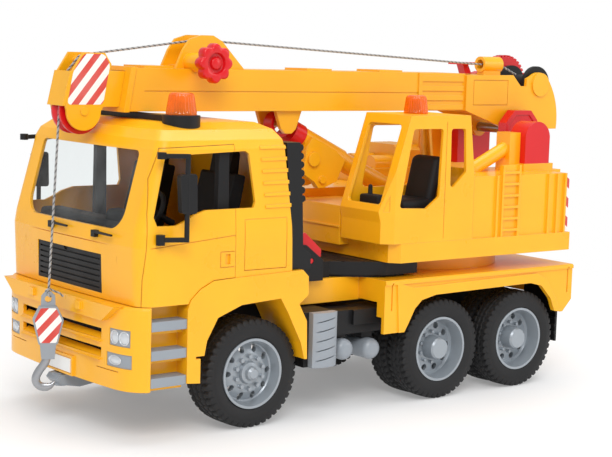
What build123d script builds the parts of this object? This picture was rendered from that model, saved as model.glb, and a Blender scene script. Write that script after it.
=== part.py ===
"""Toy crane truck: a three-axle truck with a forward cab and a slewing, luffing, telescopic crane.

The frame has +X to the rear, +Y to the truck's right, +Z up, and its origin on the ground in the
middle of the overall box. Outlines are drawn from the front axle: x is the distance behind the front
axle's centre line, y the distance from the middle plane and z the height above the ground, in mm.
"""

import os
from math import cos, radians, sin

from build123d import *

os.makedirs("parts", exist_ok=True)

# ---------------------------------------------------------------- driving dimensions
REACH_AHEAD = 132.32         # foremost point, ahead of the front axle
REACH_BEHIND = 367.3         # rearmost point, behind the front axle
FRONT_AXLE_X = (REACH_AHEAD - REACH_BEHIND) / 2
WALL = 2.5                   # moulded shell thickness

WHEEL_RADIUS = 39.0
RIM_SEAT = 25.0              # radius where the tyre sits on the rim
WHEEL_FACE = 87.0            # outer face of every tyre
FRONT_TYRE_INSIDE = 57.0
REAR_TYRE_INSIDE = 45.0
AXLE_RADIUS = 3.0
AXLE_HALF = 79.0
RUNNING_GAP = 0.06           # radial clearance of a turning shaft
FRONT_AXLE, MIDDLE_AXLE, REAR_AXLE = 0.0, 178.3, 263.4

FRAME_BOTTOM, FRAME_TOP = 46.0, 76.0
FRAME_HALF = 27.0
HITCH_BORE = 4.0
COUPLING_BORE = 3.0

HALF_WIDTH = 92.0            # cab, deck and crane platform
FENDER_HALF = 92.8
CAB_FLOOR = 94.0
BELT = 142.5                 # lower edge of the windscreen
ROOF_TOP = 213.5
DOOR_GAP = 0.35

DECK_FRONT, DECK_REAR = 115.5, 318.0
DECK_TOP = 97.0
SLEW_X = 220.0
SLEW_PIN = 12.0
RING_OUTER, RING_INNER = 70.0, 60.0
PLATFORM_BOTTOM, PLATFORM_TOP = 109.5, 124.0
BODY_TOP = 172.0

LUFF_X, LUFF_Z = 311.0, 203.0            # boom hinge
LIFT_BASE = (245.0, 131.0)               # lower pivot of the lift cylinder
LIFT_TOP = (80.0, 208.0)                 # upper pivot of the lift cylinder
BOOM_BOTTOM, BOOM_TOP = 218.7, 249.0
BOOM_HALF = 18.0
INNER_BOOM_HALF = 11.0
CHEEK_IN, CHEEK_OUT = 17.5, 20.5         # side plates of the boom's rear housing
CAP_IN, CAP_OUT = 24.0, 33.0             # red brackets beside the boom hinge
WINCH_X, WINCH_Z = 343.0, 240.5
HEAD_X, HEAD_Z = -94.0, 218.6            # head pulley
ROPE_RADIUS = 0.9
ROPE_LEAVES = (-107.1, 0.0, 218.6)       # where the rope leaves the head pulley
ROPE_EYE = (-121.4, -13.0, 91.7)         # eye of the hook block
ROPE_END = (-121.0, -12.7, 96.2)         # end of the rope on top of that eye
HOOK_YAW = 25.0                          # turn of the hanging hook block about its rope


# ---------------------------------------------------------------- planes and small forms
def side_plane(y):
    """Side view at width y: local x runs to the rear, local y up, and it extrudes to the left."""
    return Plane(origin=(FRONT_AXLE_X, y, 0), x_dir=(1, 0, 0), z_dir=(0, -1, 0))


def top_plane(z):
    """Plan view at height z: local x runs to the rear, local y to the right."""
    return Plane(origin=(FRONT_AXLE_X, 0, z), x_dir=(1, 0, 0), z_dir=(0, 0, 1))


def front_plane(x):
    """Cross-section at x: local x runs to the right, local y up, and it extrudes to the rear."""
    return Plane(origin=(FRONT_AXLE_X + x, 0, 0), x_dir=(0, 1, 0), z_dir=(1, 0, 0))


def at(x, y, z):
    return Location((FRONT_AXLE_X + x, y, z))


def cross_axis(x, z):
    """The line along Y through a point of the side view."""
    return Axis((FRONT_AXLE_X + x, 0, z), (0, 1, 0))


def block(x, y, z, mode=Mode.ADD):
    """A box between three pairs of limits."""
    with Locations(at(sum(x) / 2, sum(y) / 2, sum(z) / 2)):
        Box(x[1] - x[0], y[1] - y[0], z[1] - z[0], mode=mode)


def cross_bar(x, z, y, radius, mode=Mode.ADD):
    """A round bar or bore along Y between two widths."""
    with BuildSketch(side_plane(y[1])) as section:
        with Locations((x, z)):
            Circle(radius)
    extrude(section.sketch, amount=y[1] - y[0], mode=mode)


def long_bar(y, z, x, radius, mode=Mode.ADD):
    """A round bar or bore along X between two stations."""
    with BuildSketch(front_plane(x[0])) as section:
        with Locations((y, z)):
            Circle(radius)
    extrude(section.sketch, amount=x[1] - x[0], mode=mode)


def post(x, y, z, radius, taper=0, mode=Mode.ADD):
    """A round post or bore along Z between two heights."""
    with BuildSketch(top_plane(z[0])) as section:
        with Locations((x, y)):
            Circle(radius)
    extrude(section.sketch, amount=z[1] - z[0], taper=taper, mode=mode)


def panel(plane, outline, depth, radius=0, mode=Mode.ADD):
    """A plate of a given depth with a straight-sided outline, its corners rounded if asked."""
    with BuildSketch(plane) as section:
        with BuildLine():
            Polyline(*outline, close=True)
        make_face()
        if radius:
            fillet(section.vertices(), radius)
    extrude(section.sketch, amount=depth, mode=mode)


def side_panel(outline, y, radius=0, mode=Mode.ADD):
    """A plate seen in the side view, between two widths."""
    panel(side_plane(y[1]), outline, y[1] - y[0], radius, mode)


def front_panel(outline, x, radius=0, mode=Mode.ADD):
    """A plate seen from the front, between two stations."""
    panel(front_plane(x[0]), outline, x[1] - x[0], radius, mode)


def top_panel(outline, z, radius=0, mode=Mode.ADD):
    """A plate seen from above, between two heights."""
    panel(top_plane(z[0]), outline, z[1] - z[0], radius, mode)


def symmetric(half):
    """A closed outline from the points of its right half, listed front to back or bottom to top."""
    return half + [(-across, along) for across, along in reversed(half)]


def symmetric_plan(half):
    """A closed plan outline from the points of its right half, listed front to back."""
    return half + [(along, -across) for along, across in reversed(half)]


def sides(near, far):
    """The width limits of a feature on the left and on the right."""
    return ((-far, -near), (near, far))


def finish(piece, name):
    piece.label = name
    export_step(piece, f"parts/{name}.step")


# ---------------------------------------------------------------- wheels and axles
def wheel_section(axle_x, side):
    """Half section of a wheel: local x is the distance from the middle plane, local y the radius."""
    return Plane(origin=(FRONT_AXLE_X + axle_x, 0, WHEEL_RADIUS), x_dir=(0, side, 0), z_dir=(side, 0, 0))


def wheel_face(axle_x, side, width):
    """Plane across a wheel at a width, extruding outwards."""
    return Plane(origin=(FRONT_AXLE_X + axle_x, side * width, WHEEL_RADIUS), x_dir=(1, 0, 0),
                 z_dir=(0, side, 0))


def spin_wheel(axle_x, side, outline, mode=Mode.ADD):
    """Turns a half section about the wheel's axle."""
    with BuildSketch(wheel_section(axle_x, side)) as section:
        with BuildLine():
            Polyline(*outline, close=True)
        make_face()
    revolve(section.sketch, axis=cross_axis(axle_x, WHEEL_RADIUS), mode=mode)


def make_tyres(axle_x, inside, name, grooved):
    """A tyre on each side; the rear ones carry a wide groove that makes them look doubled."""
    with BuildPart() as tyres:
        for side in (-1, 1):
            with BuildSketch(wheel_section(axle_x, side)) as section:
                with BuildLine():
                    Polyline((inside + 0.8, 33.5), (inside, 29), (inside + 1, RIM_SEAT),
                             (WHEEL_FACE - 1, RIM_SEAT), (WHEEL_FACE, 29), (WHEEL_FACE - 0.8, 33.5))
                    ThreePointArc((WHEEL_FACE - 0.8, 33.5), (WHEEL_FACE - 2.2, 36.8), (WHEEL_FACE - 5, 38.4))
                    Polyline((WHEEL_FACE - 5, 38.4), (WHEEL_FACE - 9, WHEEL_RADIUS),
                             (inside + 9, WHEEL_RADIUS), (inside + 5, 38.4))
                    ThreePointArc((inside + 5, 38.4), (inside + 2.2, 36.8), (inside + 0.8, 33.5))
                make_face()
            revolve(section.sketch, axis=cross_axis(axle_x, WHEEL_RADIUS))
            if grooved:
                middle = (inside + WHEEL_FACE) / 2
                spin_wheel(axle_x, side, [(middle - 3.2, 40), (middle - 1.4, 34), (middle + 1.4, 34),
                                          (middle + 3.2, 40)], mode=Mode.SUBTRACT)
    finish(tyres.part, name)


def make_axle(axle_x, name):
    with BuildPart() as axle:
        cross_bar(axle_x, WHEEL_RADIUS, (-AXLE_HALF, AXLE_HALF), AXLE_RADIUS)
    finish(axle.part, name)


RIM_LIP = WHEEL_FACE - 1.0
WINDOW_RING = 17.6
NUT_RING = 11.6
LUG_NUTS = 10

with BuildPart() as front_rims:
    for side in (-1, 1):
        spin_wheel(FRONT_AXLE, side, [(AXLE_HALF, 0), (AXLE_HALF, AXLE_RADIUS), (62, AXLE_RADIUS), (62, 7),
                                      (74, 8.4), (74.6, 12.8), (73.8, 20.4), (FRONT_TYRE_INSIDE + 3, 22.6),
                                      (FRONT_TYRE_INSIDE + 3, RIM_SEAT), (RIM_LIP, RIM_SEAT),
                                      (RIM_LIP, 23.2), (82.6, 22.2), (78, 21.2), (77.2, 20.2), (80.4, 13.8),
                                      (80, 8.2), (82.8, 7.4), (83.4, 5.2), (86, 4.6), (87.6, 3.2),
                                      (87.6, 0)])
        with BuildSketch(wheel_face(FRONT_AXLE, side, 70)) as windows:
            with PolarLocations(WINDOW_RING, LUG_NUTS):
                Ellipse(2.9, 2.1)
        extrude(windows.sketch, amount=14, mode=Mode.SUBTRACT)
        with BuildSketch(wheel_face(FRONT_AXLE, side, 79)) as nuts:
            with PolarLocations(NUT_RING, LUG_NUTS, start_angle=18):
                RegularPolygon(1.6, 6)
        extrude(nuts.sketch, amount=4.2)
finish(front_rims.part, "front_rims")


def make_rear_rims(axle_x, name):
    with BuildPart() as rims:
        for side in (-1, 1):
            spin_wheel(axle_x, side, [
                (AXLE_HALF, 0), (AXLE_HALF, AXLE_RADIUS), (50, AXLE_RADIUS), (50, 7), (70, 9), (70, 20.6),
                (REAR_TYRE_INSIDE + 3, 22.6), (REAR_TYRE_INSIDE + 3, RIM_SEAT), (RIM_LIP, RIM_SEAT),
                (RIM_LIP, 23.2), (80.5, 22.2), (75, 21.4), (73.4, 20.2), (74.4, 9.2), (84.4, 8.5),
                (85.8, 7.4), (85.8, 0)])
            with BuildSketch(wheel_face(axle_x, side, 66)) as holes:
                with PolarLocations(WINDOW_RING - 0.6, LUG_NUTS):
                    Circle(2.5)
            extrude(holes.sketch, amount=12, mode=Mode.SUBTRACT)
            with BuildSketch(wheel_face(axle_x, side, 73)) as nuts:
                with PolarLocations(NUT_RING + 0.4, LUG_NUTS, start_angle=18):
                    RegularPolygon(1.3, 6)
            extrude(nuts.sketch, amount=4)
    finish(rims.part, name)


make_rear_rims(MIDDLE_AXLE, "middle_rims")
make_rear_rims(REAR_AXLE, "rear_rims")
make_tyres(FRONT_AXLE, FRONT_TYRE_INSIDE, "front_tyres", grooved=False)
make_tyres(MIDDLE_AXLE, REAR_TYRE_INSIDE, "middle_tyres", grooved=True)
make_tyres(REAR_AXLE, REAR_TYRE_INSIDE, "rear_tyres", grooved=True)
make_axle(FRONT_AXLE, "front_axle")
make_axle(MIDDLE_AXLE, "middle_axle")
make_axle(REAR_AXLE, "rear_axle")


# ---------------------------------------------------------------- chassis
with BuildPart() as chassis_frame:
    block((-84, 302), (-FRAME_HALF, FRAME_HALF), (FRAME_BOTTOM, FRAME_TOP))
    block((-80, 298), (-FRAME_HALF + 3, FRAME_HALF - 3), (FRAME_BOTTOM - 1, FRAME_TOP - 3),
          mode=Mode.SUBTRACT)
    for axle_x in (FRONT_AXLE, MIDDLE_AXLE, REAR_AXLE):
        side_panel([(axle_x - 9, 60), (axle_x - 7, 33), (axle_x + 7, 33), (axle_x + 9, 60)], (-36, 36))
        cross_bar(axle_x, WHEEL_RADIUS, (-37, 37), AXLE_RADIUS + RUNNING_GAP, mode=Mode.SUBTRACT)
    block((-84, -80), (-60, 60), (42, 84))
    for y in sides(FRAME_HALF, 54):
        block((-58, -51), y, (60, FRAME_TOP - 2))
    for y in sides(FRAME_HALF, 50):
        block((50, 110), y, (66, FRAME_TOP - 1))
    for x in ((-66, -48), (-8, 14)):
        block(x, (-18, 18), (FRAME_TOP, CAB_FLOOR))
    block((-81, -70), (-10, 10), (32, 47))
    block((302, 322), (-16, 16), (50, 64))
    post(313, 0, (49, 65), HITCH_BORE, mode=Mode.SUBTRACT)
finish(chassis_frame.part, "chassis_frame")

ARCH = [(134.9, 57.1), (138.2, 62.3), (144.8, 74), (151.7, 80.2), (166.1, 83.2), (268.8, 84.7), (281.3, 81.6),
        (292.5, 70.5), (297.5, 59.8)]
SKIRT = [(DECK_FRONT, DECK_TOP), (DECK_FRONT, 57)] + ARCH + [(308.2, 58.2), (DECK_REAR, 68),
                                                              (DECK_REAR, DECK_TOP)]
FLARE = [(126.8, 95), (129.5, 57.1)] + ARCH + [(305, 58.4), (299, 69.5), (287, 87), (275.4, 92.2),
                                               (143.9, 90.3)]
FRONT_WALL = [(58, DECK_TOP - 1), (90, DECK_TOP - 1), (90, 57), (87.6, 57), (87.6, 69), (82, 69), (82, 80),
              (58, 80)]

with BuildPart() as deck:
    block((DECK_FRONT, DECK_REAR), (-HALF_WIDTH, HALF_WIDTH), (DECK_TOP - 3.5, DECK_TOP))
    for y in sides(88, HALF_WIDTH - 1.2):
        side_panel(SKIRT, y)
    for y in sides(88, HALF_WIDTH):
        side_panel(FLARE, y)
    for side in (-1, 1):
        front_panel([(side * across, height) for across, height in FRONT_WALL],
                    (DECK_FRONT, DECK_FRONT + WALL))
        slot_y = sorted((side * 89.6, side * 95))
        for x in (122.5, 312.5):
            block((x - 0.7, x + 0.7), slot_y, (74, DECK_TOP - 2), mode=Mode.SUBTRACT)
    block((DECK_REAR - WALL, DECK_REAR), (-90, 90), (68, DECK_TOP - 1))
    block((42.5, DECK_FRONT + 3), (-60, 60), (79, DECK_TOP))
    block((45, DECK_FRONT), (-57.5, 57.5), (78, DECK_TOP - WALL), mode=Mode.SUBTRACT)
    block((60, 310), (-20, 20), (FRAME_TOP, DECK_TOP - 1))
    chamfer(deck.edges().filter_by(Axis.X).group_by(Axis.Z)[-1].filter_by(lambda e: e.length > 150), 1.2)
finish(deck.part, "deck")

CATCH_X, CATCH_Z = 65.0, 112.0           # hinge of the cab catch

with BuildPart() as deck_plate:
    top_panel(symmetric_plan([(69, 42), (126, 79), (157, 79)]), (DECK_TOP + 2, 109))
    top_panel(symmetric_plan([(72, 40), (120, 72), (150, 72)]), (DECK_TOP, DECK_TOP + 3))
    post(SLEW_X, 0, (DECK_TOP - 1, 110), RING_OUTER + 1.5, mode=Mode.SUBTRACT)
    side_panel([(47, DECK_TOP), (76, DECK_TOP), (76, 112), (60, 124), (47, 124)], (-66, -50))
    block((56, 74), (-62, -54), (104, 130), mode=Mode.SUBTRACT)
    block((73, 77), (-62, -54), (109, 130), mode=Mode.SUBTRACT)
    cross_bar(CATCH_X, CATCH_Z, (-67, -49), 2 + RUNNING_GAP, mode=Mode.SUBTRACT)
    block((66, 90), (-56, -30), (DECK_TOP, 109))
    for x in (84, 98, 112):
        block((x, x + 1.2), (-70, 70), (108.2, 110), mode=Mode.SUBTRACT)
finish(deck_plate.part, "deck_plate")

with BuildPart() as slew_pivot:
    post(SLEW_X, 0, (DECK_TOP, 103), 30)
    post(SLEW_X, 0, (DECK_TOP, PLATFORM_TOP + 3), SLEW_PIN)
    post(SLEW_X, 0, (PLATFORM_TOP + 0.2, PLATFORM_TOP + 3), SLEW_PIN + 5)
finish(slew_pivot.part, "slew_pivot")

with BuildPart() as mud_flaps:
    for y in sides(45, 82):
        block((310, 312), y, (32, DECK_TOP - 3.5))
        for z in range(38, 62, 6):
            block((309.3, 310), y, (z, z + 2))
finish(mud_flaps.part, "mud_flaps")

with BuildPart() as side_boxes:
    for y in sides(50, 84):
        block((46, 72), y, (38, 78))
        block((72, 131), (max(y[0], -76), min(y[1], 76)), (57, 75))
        block((96, 131), (max(y[0], -79), min(y[1], 79)), (64, 75))
        block((84, 94), (max(y[0], -72), min(y[1], 72)), (53.9, 57))
        block((110, 120), (max(y[0], -72), min(y[1], 72)), (51.9, 57))
finish(side_boxes.part, "side_boxes")

with BuildPart() as box_covers:
    for side in (-1, 1):
        with BuildSketch(top_plane(38)) as cover_plan:
            with BuildLine():
                Polyline((72, side * 89), (72, side * 84), (50, side * 84), (50, side * 89))
                ThreePointArc((50, side * 89), (61, side * HALF_WIDTH), (72, side * 89))
            make_face()
        extrude(cover_plan.sketch, amount=40)
        slant_y = sorted((side * 90, side * 93))
        for step in range(5):
            z = 42 + 7 * step
            side_panel([(49, z), (49, z + 0.8), (73, z + 4.8), (73, z + 4)], slant_y, mode=Mode.SUBTRACT)
finish(box_covers.part, "box_covers")

with BuildPart() as air_tanks:
    for y in sides(50, 81):
        cross_bar(89, 46, y, 7.9)
        cross_bar(115, 44, y, 7.9)
    fillet(air_tanks.edges().filter_by(GeomType.CIRCLE), 5)
finish(air_tanks.part, "air_tanks")


# ---------------------------------------------------------------- bumper, fenders and steps
BUMPER_BOTTOM, BUMPER_TOP = 37.0, 93.6
BUMPER_REAR = -88.0          # where the bumper ends and the steps begin
HEAD_LAMP = ((65, 84), (66.5, 78))       # widths and heights of the lamp openings
FOG_LAMP = ((62, 85), (52, 61.5))


def bumper_layer(inset, z, mode=Mode.ADD):
    """A slice of the bowed bumper form, moved inwards by inset."""
    half = HALF_WIDTH - inset
    with BuildSketch(top_plane(z[0])) as plan:
        with BuildLine():
            Spline((-90.5 + inset, -half), (-98.5 + inset, -85 + inset), (-104 + inset, -62),
                   (-106.3 + inset, 0), (-104 + inset, 62), (-98.5 + inset, 85 - inset),
                   (-90.5 + inset, half))
            Polyline((-90.5 + inset, half), (-80, half), (-80, -half), (-90.5 + inset, -half))
        make_face()
    extrude(plan.sketch, amount=z[1] - z[0], mode=mode)


def lamp_openings(mode):
    for lamp_y, lamp_z in (HEAD_LAMP, FOG_LAMP):
        for y in sides(*lamp_y):
            block((-115, -86), y, lamp_z, mode=mode)


with BuildPart() as front_bumper:
    bumper_layer(0, (BUMPER_BOTTOM, BUMPER_TOP))
    chamfer(front_bumper.edges().group_by(Axis.Z)[-1].sort_by(Axis.X)[0], 1.5)
    front_panel(symmetric([(62, 82.5), (78, 93.6)]), (-108.6, -99))
    for y in sides(30, 36):
        block((-110.4, -104), y, (86, 91.6))
    bumper_layer(3, (BUMPER_BOTTOM - 1, BUMPER_TOP - 3), mode=Mode.SUBTRACT)
    for y in sides(40, 43):
        block((-104.6, -84), y, (48, 82))
    for z in ((56.5, 63), (68.7, 76)):
        block((-115, -90), (-55.6, 55.6), z, mode=Mode.SUBTRACT)
    for z in (54.6, 66.8):
        side_panel([(-107, z), (-100, z + 5), (-100, z + 3.6), (-104, z)], (-55.6, 55.6))
    block((-107.6, -104), (-22, 22), (BUMPER_BOTTOM, 51))
    block((-107.8, -107.2), (-20.5, 20.5), (38.5, 49.5), mode=Mode.SUBTRACT)
    lamp_openings(Mode.SUBTRACT)
    for y in sides(50, 75):
        block((-110, -101.6), y, (49, 49.5), mode=Mode.SUBTRACT)
    block((BUMPER_REAR, -70), (-HALF_WIDTH - 1, HALF_WIDTH + 1), (BUMPER_BOTTOM - 1, BUMPER_TOP + 1),
          mode=Mode.SUBTRACT)
finish(front_bumper.part, "front_bumper")

with BuildPart() as lamp_units:
    bumper_layer(0.6, (48, 82))
    bumper_layer(2.8, (47, 83), mode=Mode.SUBTRACT)
    with BuildPart(mode=Mode.PRIVATE) as openings:
        lamp_openings(Mode.ADD)
    add(openings.part, mode=Mode.INTERSECT)
finish(lamp_units.part, "lamp_units")

with BuildPart() as tow_coupling:
    side_panel([(-111.4, 32), (-109, 35), (-100, 36), (-81, 31), (-81, 27), (-93.4, 25.5), (-107.8, 28.3)],
               (-8, 8), radius=0.8)
    post(-104, 0, (27, 36), 6)
    post(-104, 0, (20, 40), COUPLING_BORE, mode=Mode.SUBTRACT)
    block((-81, -70), (-10, 10), (26.5, 32))
finish(tow_coupling.part, "tow_coupling")

FENDER_TOP = [(-60, 90), (-57.4, 96.6), (-49.4, 103.5), (-39, 108.5), (-16, 109.4), (36.6, 111), (41.8, 106),
              (42.3, 92.7)]
FENDER_ARCH = [(42.3, 46.4), (39.8, 46.6), (36.4, 58.7), (24.6, 80.9), (17.7, 92), (-15.5, 90.1),
               (-35.3, 82.8), (-44, 67.7), (-46, 57.7)]
FENDER = FENDER_TOP + [(34.2, 86.7), (41.3, 74)] + FENDER_ARCH + [(-52.8, 57.7), (-52.8, 56), (-49, 56),
                                                                  (-49, 39), (-59.8, 40)]
STEP_TOPS = (84.0, 64.5, 46.0)
STEP_THICK = 6.5
STEP_FRONT = BUMPER_REAR + 0.3

with BuildPart() as front_fenders:
    for y in sides(54, FENDER_HALF):
        side_panel(FENDER, y)
    for y in sides(56.5, FENDER_HALF - 3):
        side_panel([(-42, 98), (-20, 105), (39, 107), (39, 96), (-14, 94)], y, mode=Mode.SUBTRACT)
    for y in sides(76, 80):
        block((STEP_FRONT, -59.8), y, (38, CAB_FLOOR - 0.4))
    for y in sides(54, 76):
        block((STEP_FRONT, -59.8), y, (84, CAB_FLOOR - 0.4))
    for y in sides(80, 86):
        for top in STEP_TOPS:
            block((STEP_FRONT, -59.8), y, (top - STEP_THICK - 3, top - STEP_THICK))
finish(front_fenders.part, "front_fenders")

with BuildPart() as step_treads:
    for side in (-1, 1):
        for top in STEP_TOPS:
            tread_y = sorted((side * 80, side * HALF_WIDTH))
            block((STEP_FRONT, -60), tread_y, (top - STEP_THICK, top))
            for groove in range(4):
                groove_y = sorted((side * (82 + 2.4 * groove), side * (83 + 2.4 * groove)))
                block((STEP_FRONT + 1, -61), groove_y, (top - 0.8, top + 1), mode=Mode.SUBTRACT)
finish(step_treads.part, "step_treads")


# ---------------------------------------------------------------- cab
CAB_LEVELS = [               # height, front, half width, rear, corner radius of each cab section
    (CAB_FLOOR, -98.5, 92.0, 28.0, 12),
    (133.0, -100.0, 92.0, 26.8, 12),
    (BELT, -98.5, 91.7, 26.4, 12),
    (197.0, -84.0, 88.0, 21.0, 9),
    (203.0, -81.5, 85.5, 20.4, 9),
    (209.5, -75.0, 77.0, 18.0, 9),
    (ROOF_TOP, -62.0, 61.0, 14.0, 9),
]
CAB_BOW = 3.0


def cab_form(inset):
    """The cab's outer form moved inwards by inset, as a stack of bowed plan sections."""
    sections = []
    for height, front, half, rear, corner in CAB_LEVELS:
        if height == ROOF_TOP:
            level = height - inset
        elif height == CAB_FLOOR:
            level = height - max(inset, 0) * 0.4
        else:
            level = height
        nose = front + inset
        edge = half - inset
        with BuildSketch(top_plane(level)) as section:
            with BuildLine():
                ThreePointArc((nose + CAB_BOW, -edge), (nose, 0), (nose + CAB_BOW, edge))
                Polyline((nose + CAB_BOW, edge), (rear - inset, edge), (rear - inset, -edge),
                         (nose + CAB_BOW, -edge))
            make_face()
            fillet(section.vertices().sort_by(Axis.X)[:2], corner - inset)
        sections.append(section.sketch)
    return loft(sections, ruled=True, mode=Mode.PRIVATE)


def side_cut(outline, mode=Mode.SUBTRACT):
    """Cuts an outline through both side walls of the cab."""
    for y in sides(68, 97):
        side_panel(outline, y, mode=mode)


DOOR = [(-93.6, CAB_FLOOR - 2), (-93.6, 112), (-90, 155), (-86.4, 178), (-79.4, 198.4), (-21.3, 200.2),
        (-21.3, 109.2), (-39, 108.5), (-49.4, 103.5), (-57.4, 96.6), (-60, 90), (-60, CAB_FLOOR - 2)]
SIDE_WINDOW = [(-77, 191.6), (-86.4, 153), (-84.4, 147.4), (-69, 147.2), (-60.8, 150.7), (-55.2, 153.8),
               (-45.5, 156.5), (-6.4, 156.6), (-4.8, 160.4), (-9.4, 193.4), (-12.4, 195.4), (-58, 193.8)]


def windscreen_opening(mode):
    """The windscreen's prism in the front view, with wide lower corners."""
    with BuildSketch(front_plane(-112)) as opening:
        with BuildLine():
            Polyline((66, 195.5), (66, BELT), (-66, BELT), (-66, 195.5), close=True)
        make_face()
        fillet(opening.vertices().group_by(Axis.Y)[0], 14)
        fillet(opening.vertices().group_by(Axis.Y)[-1], 4)
    extrude(opening.sketch, amount=48, mode=mode)


def side_seam(x, z, depth=0.6, width=0.5):
    """A rectangular seam grooved into both side walls."""
    for y in sides(HALF_WIDTH - depth - 0.4, HALF_WIDTH + 1):
        block(x, y, (z[0], z[0] + width), mode=Mode.SUBTRACT)
        block(x, y, (z[1] - width, z[1]), mode=Mode.SUBTRACT)
        block((x[0], x[0] + width), y, z, mode=Mode.SUBTRACT)
        block((x[1] - width, x[1]), y, z, mode=Mode.SUBTRACT)


with BuildPart() as cab_walls:
    add(cab_form(0))
    add(cab_form(WALL), mode=Mode.SUBTRACT)
    side_cut([(-62, 88)] + FENDER_TOP + [(44, 88)])
    block((-59, 44), (-80, 80), (88, 111), mode=Mode.SUBTRACT)

with BuildPart() as louvres:
    add(cab_form(-0.9))
    add(cab_form(0), mode=Mode.SUBTRACT)
    with BuildPart(mode=Mode.PRIVATE) as louvre_rows:
        for row in range(6):
            z = 157.6 + 8.1 * row
            left = 3.4 - 0.1 * (z - 158)
            right = 25.4 - 0.1 * (z - 158)
            side_cut([(left, z - 1.6), (right, z - 1.6), (right, z + 1), (left, z + 0.4)], mode=Mode.ADD)
    add(louvre_rows.part, mode=Mode.INTERSECT)

with BuildPart() as cab_shell:
    add(cab_walls.part)
    add(louvres.part)
    windscreen_opening(Mode.SUBTRACT)
    side_cut(DOOR)
    side_cut(SIDE_WINDOW)
    block((-104, -94), (-44.5, 44.5), (97.8, 124.3), mode=Mode.SUBTRACT)
    for y in sides(63.7, 64.3):
        block((-104, -98), y, (97, 125), mode=Mode.SUBTRACT)
    for y in sides(0, 84):
        block((-104, -98.9), y, (131.8, 132.4), mode=Mode.SUBTRACT)
    side_seam((-14, 22.3), (113.5, 149))
finish(cab_shell.part, "cab_shell")


def make_door(side, name):
    """One door cut from the cab's walls with a gap all round, its window, handle recess and seams."""
    reach = sorted((side * 68, side * 97))
    skin = sorted((side * (HALF_WIDTH - 0.7), side * (HALF_WIDTH + 1)))
    recess = sorted((side * (HALF_WIDTH - 1.5), side * (HALF_WIDTH + 1)))
    with BuildPart() as door:
        add(cab_walls.part)
        with BuildSketch(side_plane(reach[1])) as edge:
            with BuildLine():
                Polyline(*DOOR, close=True)
            make_face()
            offset(amount=-DOOR_GAP, kind=Kind.INTERSECTION)
        extrude(edge.sketch, amount=reach[1] - reach[0], mode=Mode.INTERSECT)
        side_panel(SIDE_WINDOW, reach, mode=Mode.SUBTRACT)
        block((-29.6, -25.7), recess, (119, 126), mode=Mode.SUBTRACT)
        for z in (116.8, 127.4):
            block((-34, -22.4), skin, (z, z + 0.5), mode=Mode.SUBTRACT)
        block((-34, -33.5), skin, (116.8, 127.9), mode=Mode.SUBTRACT)
        side_panel([(-95, 132.2), (-95, 132.7), (-20, 138.9), (-20, 138.4)], skin, mode=Mode.SUBTRACT)
    finish(door.part, name)


make_door(-1, "door_left")
make_door(1, "door_right")

with BuildPart() as windscreen:
    add(cab_form(0.5))
    add(cab_form(2.0), mode=Mode.SUBTRACT)
    windscreen_opening(Mode.INTERSECT)
finish(windscreen.part, "windscreen")

with BuildPart() as grille:
    block((-98.2, -94), (-44.5, 44.5), (97.8, 124.3))
    for slat in range(6):
        z = 100.6 + 3.9 * slat
        block((-99, -97), (-42, 42), (z, z + 1.2), mode=Mode.SUBTRACT)
    front_panel([(-9, 125), (9, 125), (6, 121), (-6, 121)], (-99, -97.2), mode=Mode.SUBTRACT)
finish(grille.part, "grille")

with BuildPart() as wipers:
    for y in (-38.0, 22.0):
        block((-102, -97.6), (y - 2.4, y + 2.4), (135.6, 140.2))
        front_panel([(y - 24, 138.4), (y - 24, 139.6), (y + 2, 140.2), (y + 2, 138.4)], (-102.2, -100.6))
    add(cab_form(0), mode=Mode.SUBTRACT)
finish(wipers.part, "wipers")

SEAT_YS = (-45.0, 45.0)

with BuildPart() as cab_interior:
    block((-88, 22), (-52, 52), (CAB_FLOOR, CAB_FLOOR + 3))
    block((-46, 20), (-52, 52), (CAB_FLOOR + 3, 114))
    top_panel(symmetric_plan([(-90, 68), (-84, 76), (-66, 76), (-70, 10)]), (133.5, 139.6))
    block((-90, -80), (-52, 52), (CAB_FLOOR + 3, 133.5))
    for seat_y in SEAT_YS:
        block((-46, -8), (seat_y - 22, seat_y + 22), (114, 130))
        side_panel([(-18, 128), (-6, 128), (4, 176), (-5, 178)], (seat_y - 21, seat_y + 21), radius=2)
        side_panel([(-4.6, 175), (3.4, 173), (5.4, 192), (-1, 193)], (seat_y - 12, seat_y + 12), radius=2)
    for y in sides(50, 84):
        block((-32, -22), y, (110, 114))
    for y in sides(79, 84):
        side_panel([(-32, 112), (-22, 112), (-23, 198), (-31, 198)], y)
finish(cab_interior.part, "cab_interior")

with BuildPart() as steering_wheel:
    rim_plane = Plane(at(-60, -45, 152)).rotated((0, -62, 0))
    with BuildSketch(rim_plane) as rim:
        Circle(15)
        Circle(12.4, mode=Mode.SUBTRACT)
        with PolarLocations(8, 3):
            Rectangle(12, 2.6)
        Circle(4)
    extrude(rim.sketch, amount=2.4)
    with BuildSketch(rim_plane) as column:
        Circle(2.4)
    extrude(column.sketch, amount=-20)
    add(cab_interior.part, mode=Mode.SUBTRACT)
finish(steering_wheel.part, "steering_wheel")


def make_mirror(side, name):
    """A folding mirror: two hinge bosses, a bent tube and the mirror housing."""
    def across(near, far):
        return sorted((side * near, side * far))

    with BuildPart() as mirror:
        post(-84, side * 95, (135.5, 142.3), 3)
        post(-84, side * 95, (192, 196.4), 3)
        for z in (139, 194):
            top_panel([(-85, side * 96), (-83.4, side * 93.4), (-66.6, side * 100.4), (-67.6, side * 103.4)],
                      (z - 1.5, z + 1.5))
        post(-68, side * 101.8, (137.5, 195.5), 1.7)
        side_panel([(-74.5, 182), (-61.6, 182.4), (-61, 156), (-73, 156.4)], across(98.6, 103.4), radius=2.2)
    finish(mirror.part, name)


make_mirror(-1, "mirror_left")
make_mirror(1, "mirror_right")

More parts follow.
